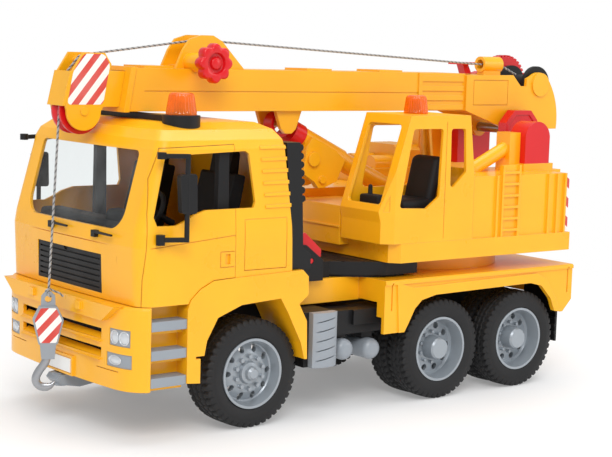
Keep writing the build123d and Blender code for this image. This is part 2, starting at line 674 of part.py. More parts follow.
with BuildPart() as intake_stacks:
    for side in (-1, 1):
        stack_y = sorted((side * 74, side * 89))
        side_panel([(22, 200.6), (34, 200.6), (37, 165), (39, 126), (46, 121), (46, 111.2), (29, 111.2),
                    (29, 126)], stack_y)
        for rib in range(7):
            cross_bar(34.4 + 0.5 * rib, 197 - 6 * rib, stack_y, 2.4)
    add(cab_form(0), mode=Mode.SUBTRACT)
    block((0, 30), (-95, 95), (100, CAB_FLOOR + 17.4), mode=Mode.SUBTRACT)
finish(intake_stacks.part, "intake_stacks")

BEACON_X, BEACON_Y = -48.0, 62.0

with BuildPart() as light_bar:
    block((-52, -42), (-58, 58), (ROOF_TOP, 217.5))
    for side in (-1, 1):
        post(BEACON_X, side * BEACON_Y, (205, 218.6), 13)
    add(cab_form(0), mode=Mode.SUBTRACT)
finish(light_bar.part, "light_bar")

with BuildPart() as beacon_lenses:
    for side in (-1, 1):
        post(BEACON_X, side * BEACON_Y, (218.6, 231.5), 10.5, taper=7)
    fillet(beacon_lenses.edges().group_by(Axis.Z)[-1], 1.5)
finish(beacon_lenses.part, "beacon_lenses")

with BuildPart() as cab_catch:
    cross_bar(CATCH_X, CATCH_Z, (-65.5, -50.5), 2)
    side_panel([(61.6, 109), (58.6, 131.6), (62, 132.5), (77, 119.5), (77, 114.4), (70, 109.6)],
               (-61.7, -54.3), radius=0.8)
finish(cab_catch.part, "cab_catch")


# ---------------------------------------------------------------- crane platform
SIDE_IN = 24.0               # inner faces of the crane's side housings
HOUSING_Y = HALF_WIDTH - 2
POST_IN, POST_OUT = 44.6, 60.0


def hollow_block(x, y, z, mode=Mode.ADD):
    """A box with an open underside and moulded walls."""
    block(x, y, z)
    block((x[0] + WALL, x[1] - WALL), (y[0] + WALL, y[1] - WALL), (z[0], z[1] - WALL), mode=Mode.SUBTRACT)


with BuildPart() as turntable:
    hollow_block((201.6, 306), (-HOUSING_Y, -SIDE_IN), (PLATFORM_TOP, BODY_TOP))
    hollow_block((113, 306), (SIDE_IN, HOUSING_Y), (PLATFORM_TOP, 155))
    hollow_block((262, 306), (SIDE_IN, HOUSING_Y), (154, BODY_TOP))
    hollow_block((113, 160), (-38, SIDE_IN), (PLATFORM_TOP, 148))
    top_panel(symmetric_plan([(122, 85), (128.7, HALF_WIDTH), (311, HALF_WIDTH)]),
              (PLATFORM_BOTTOM, PLATFORM_TOP))
    block((113, 124), (-38, 84), (118, PLATFORM_TOP))
    block((112, 206), (-38, 91), (131.4, 132.6))
    post(SLEW_X, 0, (DECK_TOP, PLATFORM_BOTTOM), RING_OUTER)
    post(SLEW_X, 0, (DECK_TOP, PLATFORM_BOTTOM), RING_INNER, mode=Mode.SUBTRACT)
    post(SLEW_X, 0, (DECK_TOP, PLATFORM_TOP + 1), SLEW_PIN + RUNNING_GAP, mode=Mode.SUBTRACT)
    for y in sides(12, 16):
        side_panel([(232, PLATFORM_TOP), (238, 137), (252, 137), (258, PLATFORM_TOP)], y)
    cross_bar(*LIFT_BASE, (-14, 14), 3)
    for x in (227, 233, 251, 285, 295, 304):
        block((x - 1, x + 1), (-HALF_WIDTH, -HOUSING_Y), (PLATFORM_TOP, 180 if x in (233, 251) else BODY_TOP))
    for rung in range(6):
        z = 128 + 9 * rung
        block((233, 251), (-HALF_WIDTH, -HOUSING_Y), (z, z + 2))
    block((232, 252), (-HOUSING_Y, -HOUSING_Y + 2), (BODY_TOP - 1, 180))
    for y in sides(POST_IN, POST_OUT):
        block((270, 282), y, (BODY_TOP - 1, LUFF_Z))
        block((281, 315), (y[0] - 6, y[1]) if y[0] < 0 else (y[0], y[1] + 6), (BODY_TOP - 1, 178))
    block((262, 306), (41, POST_IN + 1), (BODY_TOP - 1, 200))
    for y in sides(SIDE_IN, 60):
        side_panel([(300, 150), (306, 150), (331, 168), (331, BODY_TOP), (300, BODY_TOP)], y)
    with BuildSketch(Plane(origin=(FRONT_AXLE_X + 228, -52.3, BODY_TOP - 2), z_dir=(42, 0, 19))) as strut:
        Circle(5.6)
    extrude(strut.sketch, amount=50)
finish(turntable.part, "turntable")

CAP_OUTLINE = [(292, BODY_TOP), (292, 209), (302, 219.4), (321, 219.4), (329, 211), (330, 204),
               (330, BODY_TOP)]

with BuildPart() as pivot_caps:
    for y in sides(CAP_IN, CAP_OUT):
        side_panel(CAP_OUTLINE, y)
    for y in sides(CAP_OUT - 1, CAP_OUT + 1):
        side_panel([(296, 204), (296, 208), (303.6, 215.6), (319.4, 215.6), (325.4, 209.4), (326, 204),
                    (319, 196), (303, 196)], y, mode=Mode.SUBTRACT)
    cross_bar(LUFF_X, LUFF_Z, (-40, 40), 4, mode=Mode.SUBTRACT)
finish(pivot_caps.part, "pivot_caps")

with BuildPart() as boom_pivot_pin:
    cross_bar(LUFF_X, LUFF_Z, (-CAP_OUT, CAP_OUT), 4)
    for y in sides(CHEEK_OUT + 0.2, CAP_IN):
        cross_bar(LUFF_X, LUFF_Z, y, 7)
finish(boom_pivot_pin.part, "boom_pivot_pin")

with BuildPart() as hoist_covers:
    for y in sides(48, 66):
        with BuildSketch(side_plane(y[1])) as cover_side:
            with BuildLine():
                Polyline((282, 200), (282, 178), (310, 178), (310, 200))
                ThreePointArc((310, 200), (296, 212), (282, 200))
            make_face()
        extrude(cover_side.sketch, amount=y[1] - y[0])
        with BuildSketch(side_plane(y[1] + 1)) as cover_hollow:
            with BuildLine():
                Polyline((286, 198), (286, 182), (306, 182), (306, 198))
                ThreePointArc((306, 198), (296, 207), (286, 198))
            make_face()
        extrude(cover_hollow.sketch, amount=y[1] - y[0] + 2 - 16, mode=Mode.SUBTRACT)
finish(hoist_covers.part, "hoist_covers")

with BuildPart() as engine_cover:
    block((206, 262), (34, 86), (155, 168))
    front_panel([(38, 168), (38, 182), (44, 187), (78, 187), (84, 182), (84, 168)], (236, 262))
    long_bar(46, 170, (212, 238), 8)
    long_bar(72, 170, (212, 238), 8)
    for x in (242, 247, 252, 257):
        block((x, x + 1.6), (40, 82), (186.2, 188), mode=Mode.SUBTRACT)
finish(engine_cover.part, "engine_cover")

CRANE_CAB_IN = -40.0
CRANE_CAB_SIDE = [(113, PLATFORM_TOP), (113, 140), (111.4, 148), (134.5, 219), (194.6, 219), (201, 172),
                  (201, PLATFORM_TOP)]
CRANE_CAB_HOLLOW = [(115.6, PLATFORM_TOP - 1), (115.6, 140.4), (114.2, 148), (136.4, 216.5), (192.2, 216.5),
                    (198.4, 172), (198.4, PLATFORM_TOP - 1)]

with BuildPart() as crane_cab:
    side_panel(CRANE_CAB_SIDE, (-HALF_WIDTH, CRANE_CAB_IN))
    side_panel(CRANE_CAB_HOLLOW, (-HALF_WIDTH + WALL, CRANE_CAB_IN - WALL), mode=Mode.SUBTRACT)
    top_panel([(113, -84), (113, -92), (125, -92), (125, -89), (116, -82.5)], (PLATFORM_TOP, 148))
    top_panel([(105, -80), (127, -96), (105, -96)], (120, 222), mode=Mode.SUBTRACT)
    side_panel([(137.5, 209), (167, 209), (165, 158), (152.5, 149.5), (125.6, 150.7)], (-95, -86), radius=2.4,
               mode=Mode.SUBTRACT)
    side_panel([(175, 209), (190, 209), (192, 176), (176, 162)], (-95, -86), radius=2.4, mode=Mode.SUBTRACT)
    side_panel([(140, 209), (190, 209), (193, 162), (130, 162)], (-44, -38), radius=3, mode=Mode.SUBTRACT)
    front_panel([(-46, 153), (-84, 153), (-84, 212), (-46, 212)], (105, 148), radius=3, mode=Mode.SUBTRACT)
    front_panel([(-46, 178), (-86, 178), (-86, 208), (-46, 208)], (185, 203), radius=3, mode=Mode.SUBTRACT)
    block((170.3, 170.9), (-93, -HALF_WIDTH + 0.7), (PLATFORM_TOP + 2, 214), mode=Mode.SUBTRACT)
finish(crane_cab.part, "crane_cab")

with BuildPart() as crane_cab_interior:
    block((121.6, 196), (-86, -46), (PLATFORM_TOP, 128))
    block((150, 182), (-80, -50), (128, 146))
    side_panel([(148, 146), (148, 152), (172, 152), (178, 190), (185, 190), (182, 146)], (-80, -50), radius=2)
    block((122, 134), (-84, -48), (128, 150))
    post(129, -54, (150, 164), 1.6)
    post(129, -54, (163, 169), 2.8)
finish(crane_cab_interior.part, "crane_cab_interior")

with BuildPart() as crane_beacon:
    post(165, -62, (219, 233), 9.4, taper=5)
    fillet(crane_beacon.edges().group_by(Axis.Z)[-1], 1.5)
finish(crane_beacon.part, "crane_beacon")


# ---------------------------------------------------------------- lift cylinder
LIFT_DX = LIFT_BASE[0] - LIFT_TOP[0]
LIFT_DZ = LIFT_BASE[1] - LIFT_TOP[1]
LIFT_LENGTH = (LIFT_DX**2 + LIFT_DZ**2) ** 0.5
SLEEVE_RADIUS = 8.6
ROD_RADIUS = 5.4
EYE_BORE = 7.2               # wide enough for the pin's play while the boom lifts
PLATE_OUTLINE = [(96, 170.7), (107, 164), (111, 159), (117, 159.2), (129, 163.8), (137, 179.6), (128, 188),
                 (104.6, 198.4), (99, 191)]


def lift_bar(along, radius, mode=Mode.ADD):
    """A round bar on the lift cylinder's axis between two distances from its upper pivot."""
    start = (FRONT_AXLE_X + LIFT_TOP[0] + LIFT_DX * along[0] / LIFT_LENGTH, 0,
             LIFT_TOP[1] + LIFT_DZ * along[0] / LIFT_LENGTH)
    with BuildSketch(Plane(origin=start, x_dir=(0, 1, 0), z_dir=(LIFT_DX, 0, LIFT_DZ))) as section:
        Circle(radius)
    extrude(section.sketch, amount=along[1] - along[0], mode=mode)


with BuildPart() as lift_sleeve:
    lift_bar((23, 68), SLEEVE_RADIUS)
    lift_bar((60, 126), SLEEVE_RADIUS - 1)
    for y in sides(SLEEVE_RADIUS - 1, 13):
        side_panel(PLATE_OUTLINE, y)
    for y in sides(13, 15.4):
        cross_bar(105, 181.7, y, 5.6)
        cross_bar(114, 165.6, y, 3)
    lift_bar((22, 130), ROD_RADIUS + RUNNING_GAP, mode=Mode.SUBTRACT)
finish(lift_sleeve.part, "lift_sleeve")

with BuildPart() as cylinder_cap:
    lift_bar((12, 23), SLEEVE_RADIUS + 0.8)
    lift_bar((6, 13), 5)
    cross_bar(*LIFT_TOP, (-5, 5), 9.6)
    cross_bar(*LIFT_TOP, (-10, 10), EYE_BORE, mode=Mode.SUBTRACT)
finish(cylinder_cap.part, "cylinder_cap")

with BuildPart() as lift_tube:
    lift_bar((27, LIFT_LENGTH), ROD_RADIUS)
    cross_bar(*LIFT_BASE, (-10, 10), 6.8)
    cross_bar(*LIFT_BASE, (-11, 11), 3 + RUNNING_GAP, mode=Mode.SUBTRACT)
finish(lift_tube.part, "lift_tube")


# ---------------------------------------------------------------- boom
INNER_BOTTOM, INNER_TOP = 221.6, 246.4
SLIDE_GAP = 0.2

with BuildPart() as outer_boom:
    side_panel([(-59.5, BOOM_TOP), (-65.5, BOOM_BOTTOM), (257, BOOM_BOTTOM), (257, BOOM_TOP)],
               (-BOOM_HALF, BOOM_HALF))
    side_panel([(-57, BOOM_TOP + 0.8), (-62.6, BOOM_BOTTOM - 0.6), (-67, BOOM_BOTTOM - 0.6),
                (-61.4, BOOM_TOP + 0.8)], (-BOOM_HALF - 0.9, BOOM_HALF + 0.9))
    for x in (-48, 96, 168):
        block((x, x + 24), (-14, 14), (BOOM_TOP, BOOM_TOP + 1.6))
    with BuildSketch(side_plane(CHEEK_OUT)) as housing:
        with BuildLine():
            Polyline((257, BOOM_BOTTOM), (257, 247.7), (310.7, 248.3), (320, 239.2), (326.8, 239.2),
                     (327.2, 245.6), (332.4, 247.8))
            ThreePointArc((332.4, 247.8), (342.3, 251), (353, 245.4))
            Spline((353, 245.4), (363, 227.3), (365.3, 203))
            Polyline((365.3, 203), (319, 203))
            ThreePointArc((319, 203), (LUFF_X, 195), (303, 203))
            Polyline((303, 203), (299, 205), (257, BOOM_BOTTOM))
        make_face()
    extrude(housing.sketch, amount=2 * CHEEK_OUT)
    block((257, 370), (-CHEEK_IN, CHEEK_IN), (190, 260), mode=Mode.SUBTRACT)
    block((257, 286), (-CHEEK_IN, CHEEK_IN), (BOOM_BOTTOM - 2, 247.7))
    side_panel([(250, 200), (250, BOOM_BOTTOM), (257, BOOM_BOTTOM), (299, 205), (299, 200)], (-22, 22),
               mode=Mode.SUBTRACT)
    block((-70, 254), (-INNER_BOOM_HALF - SLIDE_GAP, INNER_BOOM_HALF + SLIDE_GAP),
          (INNER_BOTTOM - SLIDE_GAP, INNER_TOP + SLIDE_GAP), mode=Mode.SUBTRACT)
    block((-40, 254), (-BOOM_HALF + WALL, BOOM_HALF - WALL), (INNER_BOTTOM - SLIDE_GAP,
                                                              INNER_TOP + SLIDE_GAP), mode=Mode.SUBTRACT)
    for y in sides(BOOM_HALF - 0.6, BOOM_HALF + 1):
        block((-50, 208), y, (232.6, 233.2), mode=Mode.SUBTRACT)
    for y in sides(BOOM_HALF, BOOM_HALF + 1.1):
        for z in (219.4, 227, 234.6, 242.2):
            block((210, 255), y, (z, z + 4.4))
        block((206, 210), y, (BOOM_BOTTOM, BOOM_TOP))
    for y in sides(CHEEK_OUT - 0.7, CHEEK_OUT + 0.5):
        panel_low, panel_high = 223, 244
        for z in (panel_low, panel_high - 0.6):
            block((265, 305), y, (z, z + 0.6), mode=Mode.SUBTRACT)
        for x in (265, 304.4):
            block((x, x + 0.6), y, (panel_low, panel_high), mode=Mode.SUBTRACT)
    for y in sides(CHEEK_IN, CHEEK_OUT):
        cross_bar(LUFF_X, LUFF_Z, y, 8)
    cross_bar(WINCH_X, WINCH_Z, (-CHEEK_OUT - 1.6, -CHEEK_OUT), 10)
    cross_bar(LUFF_X, LUFF_Z, (-25, 25), 4 + RUNNING_GAP, mode=Mode.SUBTRACT)
    cross_bar(WINCH_X, WINCH_Z, (-CHEEK_OUT, 25), 3 + RUNNING_GAP, mode=Mode.SUBTRACT)
    cross_bar(300, 244, (CHEEK_IN, 29.5), 2)
    long_bar(0, 256.5, (291, 312.5), 6.6)
    block((292, 311.5), (-4, 4), (246, 252))
    block((286, 311), (-CHEEK_IN, CHEEK_IN), (245.2, 247.8))
    long_bar(0, 256.5, (290, 313), 4, mode=Mode.SUBTRACT)
    for y in sides(10.5, 14):
        side_panel([(68, BOOM_BOTTOM), (73, 205), (77, 201.5), (83, 201.5), (87, 205), (92, BOOM_BOTTOM)], y)
    block((66, 94), (-5.6, 5.6), (BOOM_BOTTOM - 1, INNER_BOTTOM), mode=Mode.SUBTRACT)
    cross_bar(*LIFT_TOP, (-14, 14), 2.5)
finish(outer_boom.part, "outer_boom")

KNOB_X, KNOB_Z = -7.0, 253.5

with BuildPart() as rope_bracket:
    for y in sides(8.4, 10.8):
        side_panel([(-20, BOOM_TOP), (-14, 262), (-8, 270), (2, 273), (12, 273), (20, 269), (40, BOOM_TOP)],
                   y)
    block((-14, 30), (-10.8, 10.8), (BOOM_TOP, BOOM_TOP + 2.4))
    cross_bar(6, 265.5, (-8.4, 8.4), 3)
    cross_bar(KNOB_X, KNOB_Z, (-29, -10.8), 7)
    block((-20, 10), (-BOOM_HALF - 1, BOOM_HALF + 1), (240, BOOM_TOP), mode=Mode.SUBTRACT)
    cross_bar(KNOB_X, KNOB_Z, (-37, -28), 3)
finish(rope_bracket.part, "rope_bracket")

with BuildPart() as clamp_knob:
    with BuildSketch(side_plane(-30)) as knob_face:
        with Locations((KNOB_X, KNOB_Z)):
            Circle(11)
            with PolarLocations(10.6, 8):
                Circle(3.4)
            with PolarLocations(14.4, 8, start_angle=22.5):
                Circle(2.6, mode=Mode.SUBTRACT)
    extrude(knob_face.sketch, amount=14)
    cross_bar(KNOB_X, KNOB_Z, (-45, -40), 8, mode=Mode.SUBTRACT)
    cross_bar(KNOB_X, KNOB_Z, (-44, -39), 3.4)
    cross_bar(KNOB_X, KNOB_Z, (-37, -29), 3 + RUNNING_GAP, mode=Mode.SUBTRACT)
finish(clamp_knob.part, "clamp_knob")

with BuildPart() as winch_drum:
    cross_bar(WINCH_X, WINCH_Z, (-CHEEK_OUT, 29), 3)
    cross_bar(WINCH_X, WINCH_Z, (-16.5, 16.5), 8)
    for y in sides(13, 16.5):
        cross_bar(WINCH_X, WINCH_Z, y, 15.6)
finish(winch_drum.part, "winch_drum")

RATCHET_RADIUS = 24.3
RATCHET_TEETH = 36

with BuildPart() as ratchet_wheel:
    with BuildSketch(side_plane(29)) as wheel_side:
        with Locations((WINCH_X, WINCH_Z)):
            Circle(RATCHET_RADIUS - 1.8)
            with PolarLocations(RATCHET_RADIUS - 1.5, RATCHET_TEETH):
                Rectangle(3, 2.2)
            Circle(3, mode=Mode.SUBTRACT)
    extrude(wheel_side.sketch, amount=8)
    cross_bar(WINCH_X, WINCH_Z, (26, 30), 16, mode=Mode.SUBTRACT)
    with BuildSketch(side_plane(28)) as hub_side:
        with Locations((WINCH_X, WINCH_Z)):
            Circle(7)
            Circle(3, mode=Mode.SUBTRACT)
    extrude(hub_side.sketch, amount=4)
finish(ratchet_wheel.part, "ratchet_wheel")

with BuildPart() as pawl_lever:
    cross_bar(300, 244, (21, 29), 4.4)
    side_panel([(296.4, 244), (291, 256.6), (297, 256.6), (303.6, 245)], (21, 29))
    side_panel([(286, 255.8), (287, 258), (302, 258), (303, 255.8)], (16, 34))
    side_panel([(301, 241), (301, 247), (313, 250.4), (315.4, 247), (312, 245)], (21, 29))
    cross_bar(300, 244, (15, 35), 2 + RUNNING_GAP, mode=Mode.SUBTRACT)
finish(pawl_lever.part, "pawl_lever")

with BuildPart() as inner_boom:
    block((-84, 150), (-INNER_BOOM_HALF, INNER_BOOM_HALF), (INNER_BOTTOM, INNER_TOP))
    block((-78, 148), (-INNER_BOOM_HALF + 2, INNER_BOOM_HALF - 2), (INNER_BOTTOM + 2, INNER_TOP - 2),
          mode=Mode.SUBTRACT)
    block((-86, -77), (-INNER_BOOM_HALF + 2, INNER_BOOM_HALF - 2), (INNER_BOTTOM + 2, INNER_TOP - 2),
          mode=Mode.SUBTRACT)
    cross_bar(HEAD_X, HEAD_Z, (-6.6, 6.6), 16.8, mode=Mode.SUBTRACT)
    for y in sides(INNER_BOOM_HALF, BOOM_HALF - WALL - SLIDE_GAP):
        block((138, 150), y, (INNER_BOTTOM, INNER_TOP))
finish(inner_boom.part, "inner_boom")

HEAD_HALF = INNER_BOOM_HALF
PULLEY_RADIUS, PULLEY_GROOVE = 16.0, 12.2

with BuildPart() as boom_head:
    with BuildSketch(side_plane(HEAD_HALF)) as head_side:
        with BuildLine():
            Polyline((-80.7, HEAD_Z), (-78.4, 222.3), (-72.7, 251), (-78, 258.7), (-95, 258.7),
                     (-103.5, 245.8), (-108.2, 222.3), (-107.3, HEAD_Z))
            ThreePointArc((-107.3, HEAD_Z), (HEAD_X, HEAD_Z - 13.3), (-80.7, HEAD_Z))
        make_face()
    extrude(head_side.sketch, amount=2 * HEAD_HALF)
    block((-120, -60), (-HEAD_HALF + 2, HEAD_HALF - 2), (200, 262), mode=Mode.SUBTRACT)
    side_panel([(-105, 246), (-110.6, 222.3), (-108.4, 222.3), (-102.8, 246)], (-HEAD_HALF, HEAD_HALF))
    cross_bar(HEAD_X, HEAD_Z, (-PULLEY_GROOVE / 2 - 0.6, PULLEY_GROOVE / 2 + 0.6), PULLEY_RADIUS + 0.8,
              mode=Mode.SUBTRACT)
    block((-84, -60), (-HEAD_HALF - 1, HEAD_HALF + 1), (INNER_BOTTOM, INNER_TOP), mode=Mode.SUBTRACT)
    cross_bar(HEAD_X, HEAD_Z, (-HEAD_HALF - 1, HEAD_HALF + 1), 3)
    cross_bar(-89, 253, (-HEAD_HALF, HEAD_HALF), 2.8)
finish(boom_head.part, "boom_head")

with BuildPart() as head_pulley:
    with BuildSketch(Plane(origin=(FRONT_AXLE_X + HEAD_X, 0, HEAD_Z), x_dir=(0, 1, 0),
                           z_dir=(1, 0, 0))) as pulley_section:
        with BuildLine():
            Polyline((-6, 3 + RUNNING_GAP), (-6, PULLEY_RADIUS), (-4, PULLEY_RADIUS), (-1.3, PULLEY_GROOVE),
                     (1.3, PULLEY_GROOVE), (4, PULLEY_RADIUS), (6, PULLEY_RADIUS), (6, 3 + RUNNING_GAP),
                     close=True)
        make_face()
    revolve(pulley_section.sketch, axis=cross_axis(HEAD_X, HEAD_Z))
finish(head_pulley.part, "head_pulley")


# ---------------------------------------------------------------- ropes and hook
def rope_line(points):
    """A rope of round section through points of the truck's own layout."""
    with BuildLine() as path:
        Polyline(*[at(*point).position for point in points])
    with BuildSketch(Plane(origin=path.line @ 0, z_dir=path.line % 0)) as section:
        Circle(ROPE_RADIUS)
    sweep(section.sketch, path=path.line, transition=Transition.ROUND)


with BuildPart() as boom_rope:
    rope_line([(334, 0, 248.3), (314, 0, 256.5), (290, 0, 256.5), (6, 0, 269.5), (-89, 0, 257),
               (-92.3, 0, 255.8), (-101.2, 0, 245.4), (-106.3, 0, 224), (-107.2, 0, 219.4)])
finish(boom_rope.part, "boom_rope")

with BuildPart() as hoist_rope:
    rope_line([ROPE_LEAVES, ROPE_END])
finish(hoist_rope.part, "hoist_rope")


def hook_plane(out):
    """The hook block's own side view, turned about its rope; local x runs to its right edge."""
    turn = radians(HOOK_YAW)
    face = Plane(origin=(FRONT_AXLE_X + ROPE_EYE[0], ROPE_EYE[1], 0), x_dir=(cos(turn), -sin(turn), 0),
                 z_dir=(-sin(turn), -cos(turn), 0))
    return face.offset(out)


BLOCK_HALF = 3.3

with BuildPart() as hook_block:
    with BuildSketch(hook_plane(-BLOCK_HALF)) as block_face:
        with BuildLine():
            Polyline((-6, 86), (6, 86), (10.5, 76.5), (6.4, 59.6), (-6.4, 59.6), (-10.5, 76.5), close=True)
        make_face()
        fillet(block_face.vertices(), 1.2)
    extrude(block_face.sketch, amount=2 * BLOCK_HALF)
    with BuildSketch(hook_plane(-1.6)) as eye_face:
        with BuildLine():
            Polyline((-5, 85), (-4.6, 93), (-2, 96), (2, 96), (4.6, 93), (5, 85), close=True)
        make_face()
        with Locations((0, 91)):
            Circle(2.4, mode=Mode.SUBTRACT)
    extrude(eye_face.sketch, amount=3.2)
    for out in (-BLOCK_HALF, 1.3):
        with BuildSketch(hook_plane(out)) as fork_face:
            with BuildLine():
                Polyline((-5.4, 60), (-4.4, 49.4), (4.4, 49.4), (5.4, 60), close=True)
            make_face()
        extrude(fork_face.sketch, amount=2)
    with BuildSketch(hook_plane(-BLOCK_HALF)) as pin_face:
        with Locations((0, 53.5)):
            Circle(1.5)
    extrude(pin_face.sketch, amount=2 * BLOCK_HALF)
finish(hook_block.part, "hook_block")

with BuildPart() as hook:
    with BuildSketch(hook_plane(-1.2)) as hook_face:
        with BuildLine():
            Polyline((-3.4, 53.5), (-3.6, 47.6), (-8.6, 42))
            ThreePointArc((-8.6, 42), (-10.6, 35.4), (-7, 29.4))
            ThreePointArc((-7, 29.4), (0, 27.1), (5.6, 31.6))
            Line((5.6, 31.6), (3.4, 33.6))
            ThreePointArc((3.4, 33.6), (-0.6, 31.6), (-4.2, 33))
            ThreePointArc((-4.2, 33), (-6, 36.2), (-4, 40))
            Polyline((-4, 40), (2.8, 46.6), (3.4, 53.5))
            ThreePointArc((3.4, 53.5), (0, 56.9), (-3.4, 53.5))
        make_face()
        with Locations((0, 53.5)):
            Circle(1.5 + RUNNING_GAP, mode=Mode.SUBTRACT)
    extrude(hook_face.sketch, amount=2.4)
finish(hook.part, "hook")
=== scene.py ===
"""Looks of the toy crane truck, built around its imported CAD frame. Lengths below are in millimetres
from the front axle: x to the rear, y to the truck's right, z up from the ground."""
import math

import bmesh
import bpy
from mathutils import Matrix, Vector
from mathutils.bvhtree import BVHTree


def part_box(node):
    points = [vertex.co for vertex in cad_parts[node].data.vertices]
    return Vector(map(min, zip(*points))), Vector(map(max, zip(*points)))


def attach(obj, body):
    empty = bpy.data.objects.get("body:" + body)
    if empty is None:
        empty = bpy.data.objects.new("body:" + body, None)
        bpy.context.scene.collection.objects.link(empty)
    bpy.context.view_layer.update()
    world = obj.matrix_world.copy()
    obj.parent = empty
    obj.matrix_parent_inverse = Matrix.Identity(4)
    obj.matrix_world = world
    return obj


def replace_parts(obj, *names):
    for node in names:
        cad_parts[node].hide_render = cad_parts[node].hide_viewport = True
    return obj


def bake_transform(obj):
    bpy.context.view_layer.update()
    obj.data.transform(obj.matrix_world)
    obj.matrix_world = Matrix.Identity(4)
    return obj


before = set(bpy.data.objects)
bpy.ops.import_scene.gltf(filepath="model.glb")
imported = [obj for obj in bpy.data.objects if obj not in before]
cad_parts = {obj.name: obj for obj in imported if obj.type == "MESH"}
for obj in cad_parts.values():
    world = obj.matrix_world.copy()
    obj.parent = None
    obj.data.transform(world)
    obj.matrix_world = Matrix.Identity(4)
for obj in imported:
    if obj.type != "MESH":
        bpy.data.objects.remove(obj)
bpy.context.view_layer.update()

MM = 0.001


def middle(node):
    low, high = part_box(node)
    return (Vector(low) + Vector(high)) / 2


AXLE_X = middle("front_axle").x


def pt(x, y, z):
    """A point of the truck's own layout, in metres in the frame."""
    return Vector((AXLE_X + x * MM, y * MM, z * MM))


# ---------------------------------------------------------------- materials
class Nodes:
    """A material's node tree with short calls."""

    def __init__(self, name):
        self.material = bpy.data.materials.new(name)
        self.material.use_nodes = True
        self.tree = self.material.node_tree
        self.tree.nodes.clear()
        self.out = self.add("ShaderNodeOutputMaterial")

    def add(self, kind, **values):
        node = self.tree.nodes.new(kind)
        for key, value in values.items():
            if hasattr(node, key):
                setattr(node, key, value)
            else:
                node.inputs[key.replace("_", " ")].default_value = value
        return node

    def link(self, source, target):
        self.tree.links.new(source, target)


def grain(n, scale, detail, rough=0.55):
    """A noise value in object space, its scale in features per metre."""
    coords = n.add("ShaderNodeTexCoord")
    noise = n.add("ShaderNodeTexNoise", Scale=scale, Detail=detail, Roughness=rough)
    n.link(coords.outputs["Object"], noise.inputs["Vector"])
    return noise.outputs["Fac"]


def remap(n, source, low, high, from_low=0.3, from_high=0.7):
    """Maps a value from one range to another; the usual range of a noise is the start."""
    node = n.add("ShaderNodeMapRange")
    node.inputs["From Min"].default_value = from_low
    node.inputs["From Max"].default_value = from_high
    node.inputs["To Min"].default_value = low
    node.inputs["To Max"].default_value = high
    n.link(source, node.inputs["Value"])
    return node.outputs["Result"]


def mix_colors(n, factor, first, second):
    """Blends two colours, each a tuple or the output of another node."""
    node = n.add("ShaderNodeMix", data_type="RGBA")
    for socket, value in ((6, first), (7, second)):
        if isinstance(value, tuple):
            node.inputs[socket].default_value = (*value, 1)
        else:
            n.link(value, node.inputs[socket])
    n.link(factor, node.inputs[0])
    return node.outputs[2]


def shaded(color, factor):
    return tuple(c * factor for c in color)


def plastic(name, color, roughness=0.32, coat=0.25, edge=0.5, grain_bump=0.05, subsurface=0.0, metallic=0.0,
            wear=0.12, shine=0.5):
    """Moulded plastic: softened edges, a faint mould grain, slight colour and gloss variation, worn edges."""
    n = Nodes(name)
    shader = n.add("ShaderNodeBsdfPrincipled")
    cloudy = grain(n, 22.0, 4.0)
    fine = grain(n, 1500.0, 2.0)
    tone = mix_colors(n, remap(n, cloudy, 0, 1), shaded(color, 0.94), shaded(color, 1.03))
    bevel = n.add("ShaderNodeBevel", samples=4)
    bevel.inputs["Radius"].default_value = edge * MM
    geometry = n.add("ShaderNodeNewGeometry")
    turn = n.add("ShaderNodeVectorMath", operation="DOT_PRODUCT")
    n.link(bevel.outputs["Normal"], turn.inputs[0])
    n.link(geometry.outputs["Normal"], turn.inputs[1])
    worn = remap(n, turn.outputs["Value"], wear, 0.0, 0.8, 0.99)
    pale = tuple(min(1.0, 0.55 * c + 0.4) for c in color)
    n.link(mix_colors(n, worn, tone, pale), shader.inputs["Base Color"])
    n.link(remap(n, cloudy, roughness * 0.85, roughness * 1.2), shader.inputs["Roughness"])
    bump = n.add("ShaderNodeBump", Strength=grain_bump, Distance=0.12 * MM)
    n.link(fine, bump.inputs["Height"])
    n.link(bevel.outputs["Normal"], bump.inputs["Normal"])
    n.link(bump.outputs["Normal"], shader.inputs["Normal"])
    shader.inputs["Coat Weight"].default_value = coat
    shader.inputs["Coat Roughness"].default_value = 0.12
    shader.inputs["Specular IOR Level"].default_value = shine
    shader.inputs["Metallic"].default_value = metallic
    shader.inputs["Subsurface Weight"].default_value = subsurface
    shader.inputs["Subsurface Radius"].default_value = (0.004, 0.002, 0.0006)
    shader.inputs["Subsurface Scale"].default_value = 0.6
    n.link(shader.outputs["BSDF"], n.out.inputs["Surface"])
    return n.material


def lens_plastic(name, color, density):
    """Tinted clear plastic that lets light through, with a faint painted glow in its own colour."""
    n = Nodes(name)
    shader = n.add("ShaderNodeBsdfPrincipled")
    cloudy = grain(n, 120.0, 3.0)
    n.link(mix_colors(n, remap(n, cloudy, 0, 1), shaded(color, 0.8), color),
           shader.inputs["Base Color"])
    shader.inputs["Roughness"].default_value = 0.12
    shader.inputs["Transmission Weight"].default_value = density
    shader.inputs["IOR"].default_value = 1.45
    shader.inputs["Coat Weight"].default_value = 0.15
    # painted glow: the unlit lens gives off a little light in its own colour
    shader.inputs["Emission Color"].default_value = (*color, 1)
    shader.inputs["Emission Strength"].default_value = 0.12
    bump = n.add("ShaderNodeBump", Strength=0.15, Distance=0.2 * MM)
    n.link(cloudy, bump.inputs["Height"])
    n.link(bump.outputs["Normal"], shader.inputs["Normal"])
    n.link(shader.outputs["BSDF"], n.out.inputs["Surface"])
    return n.material


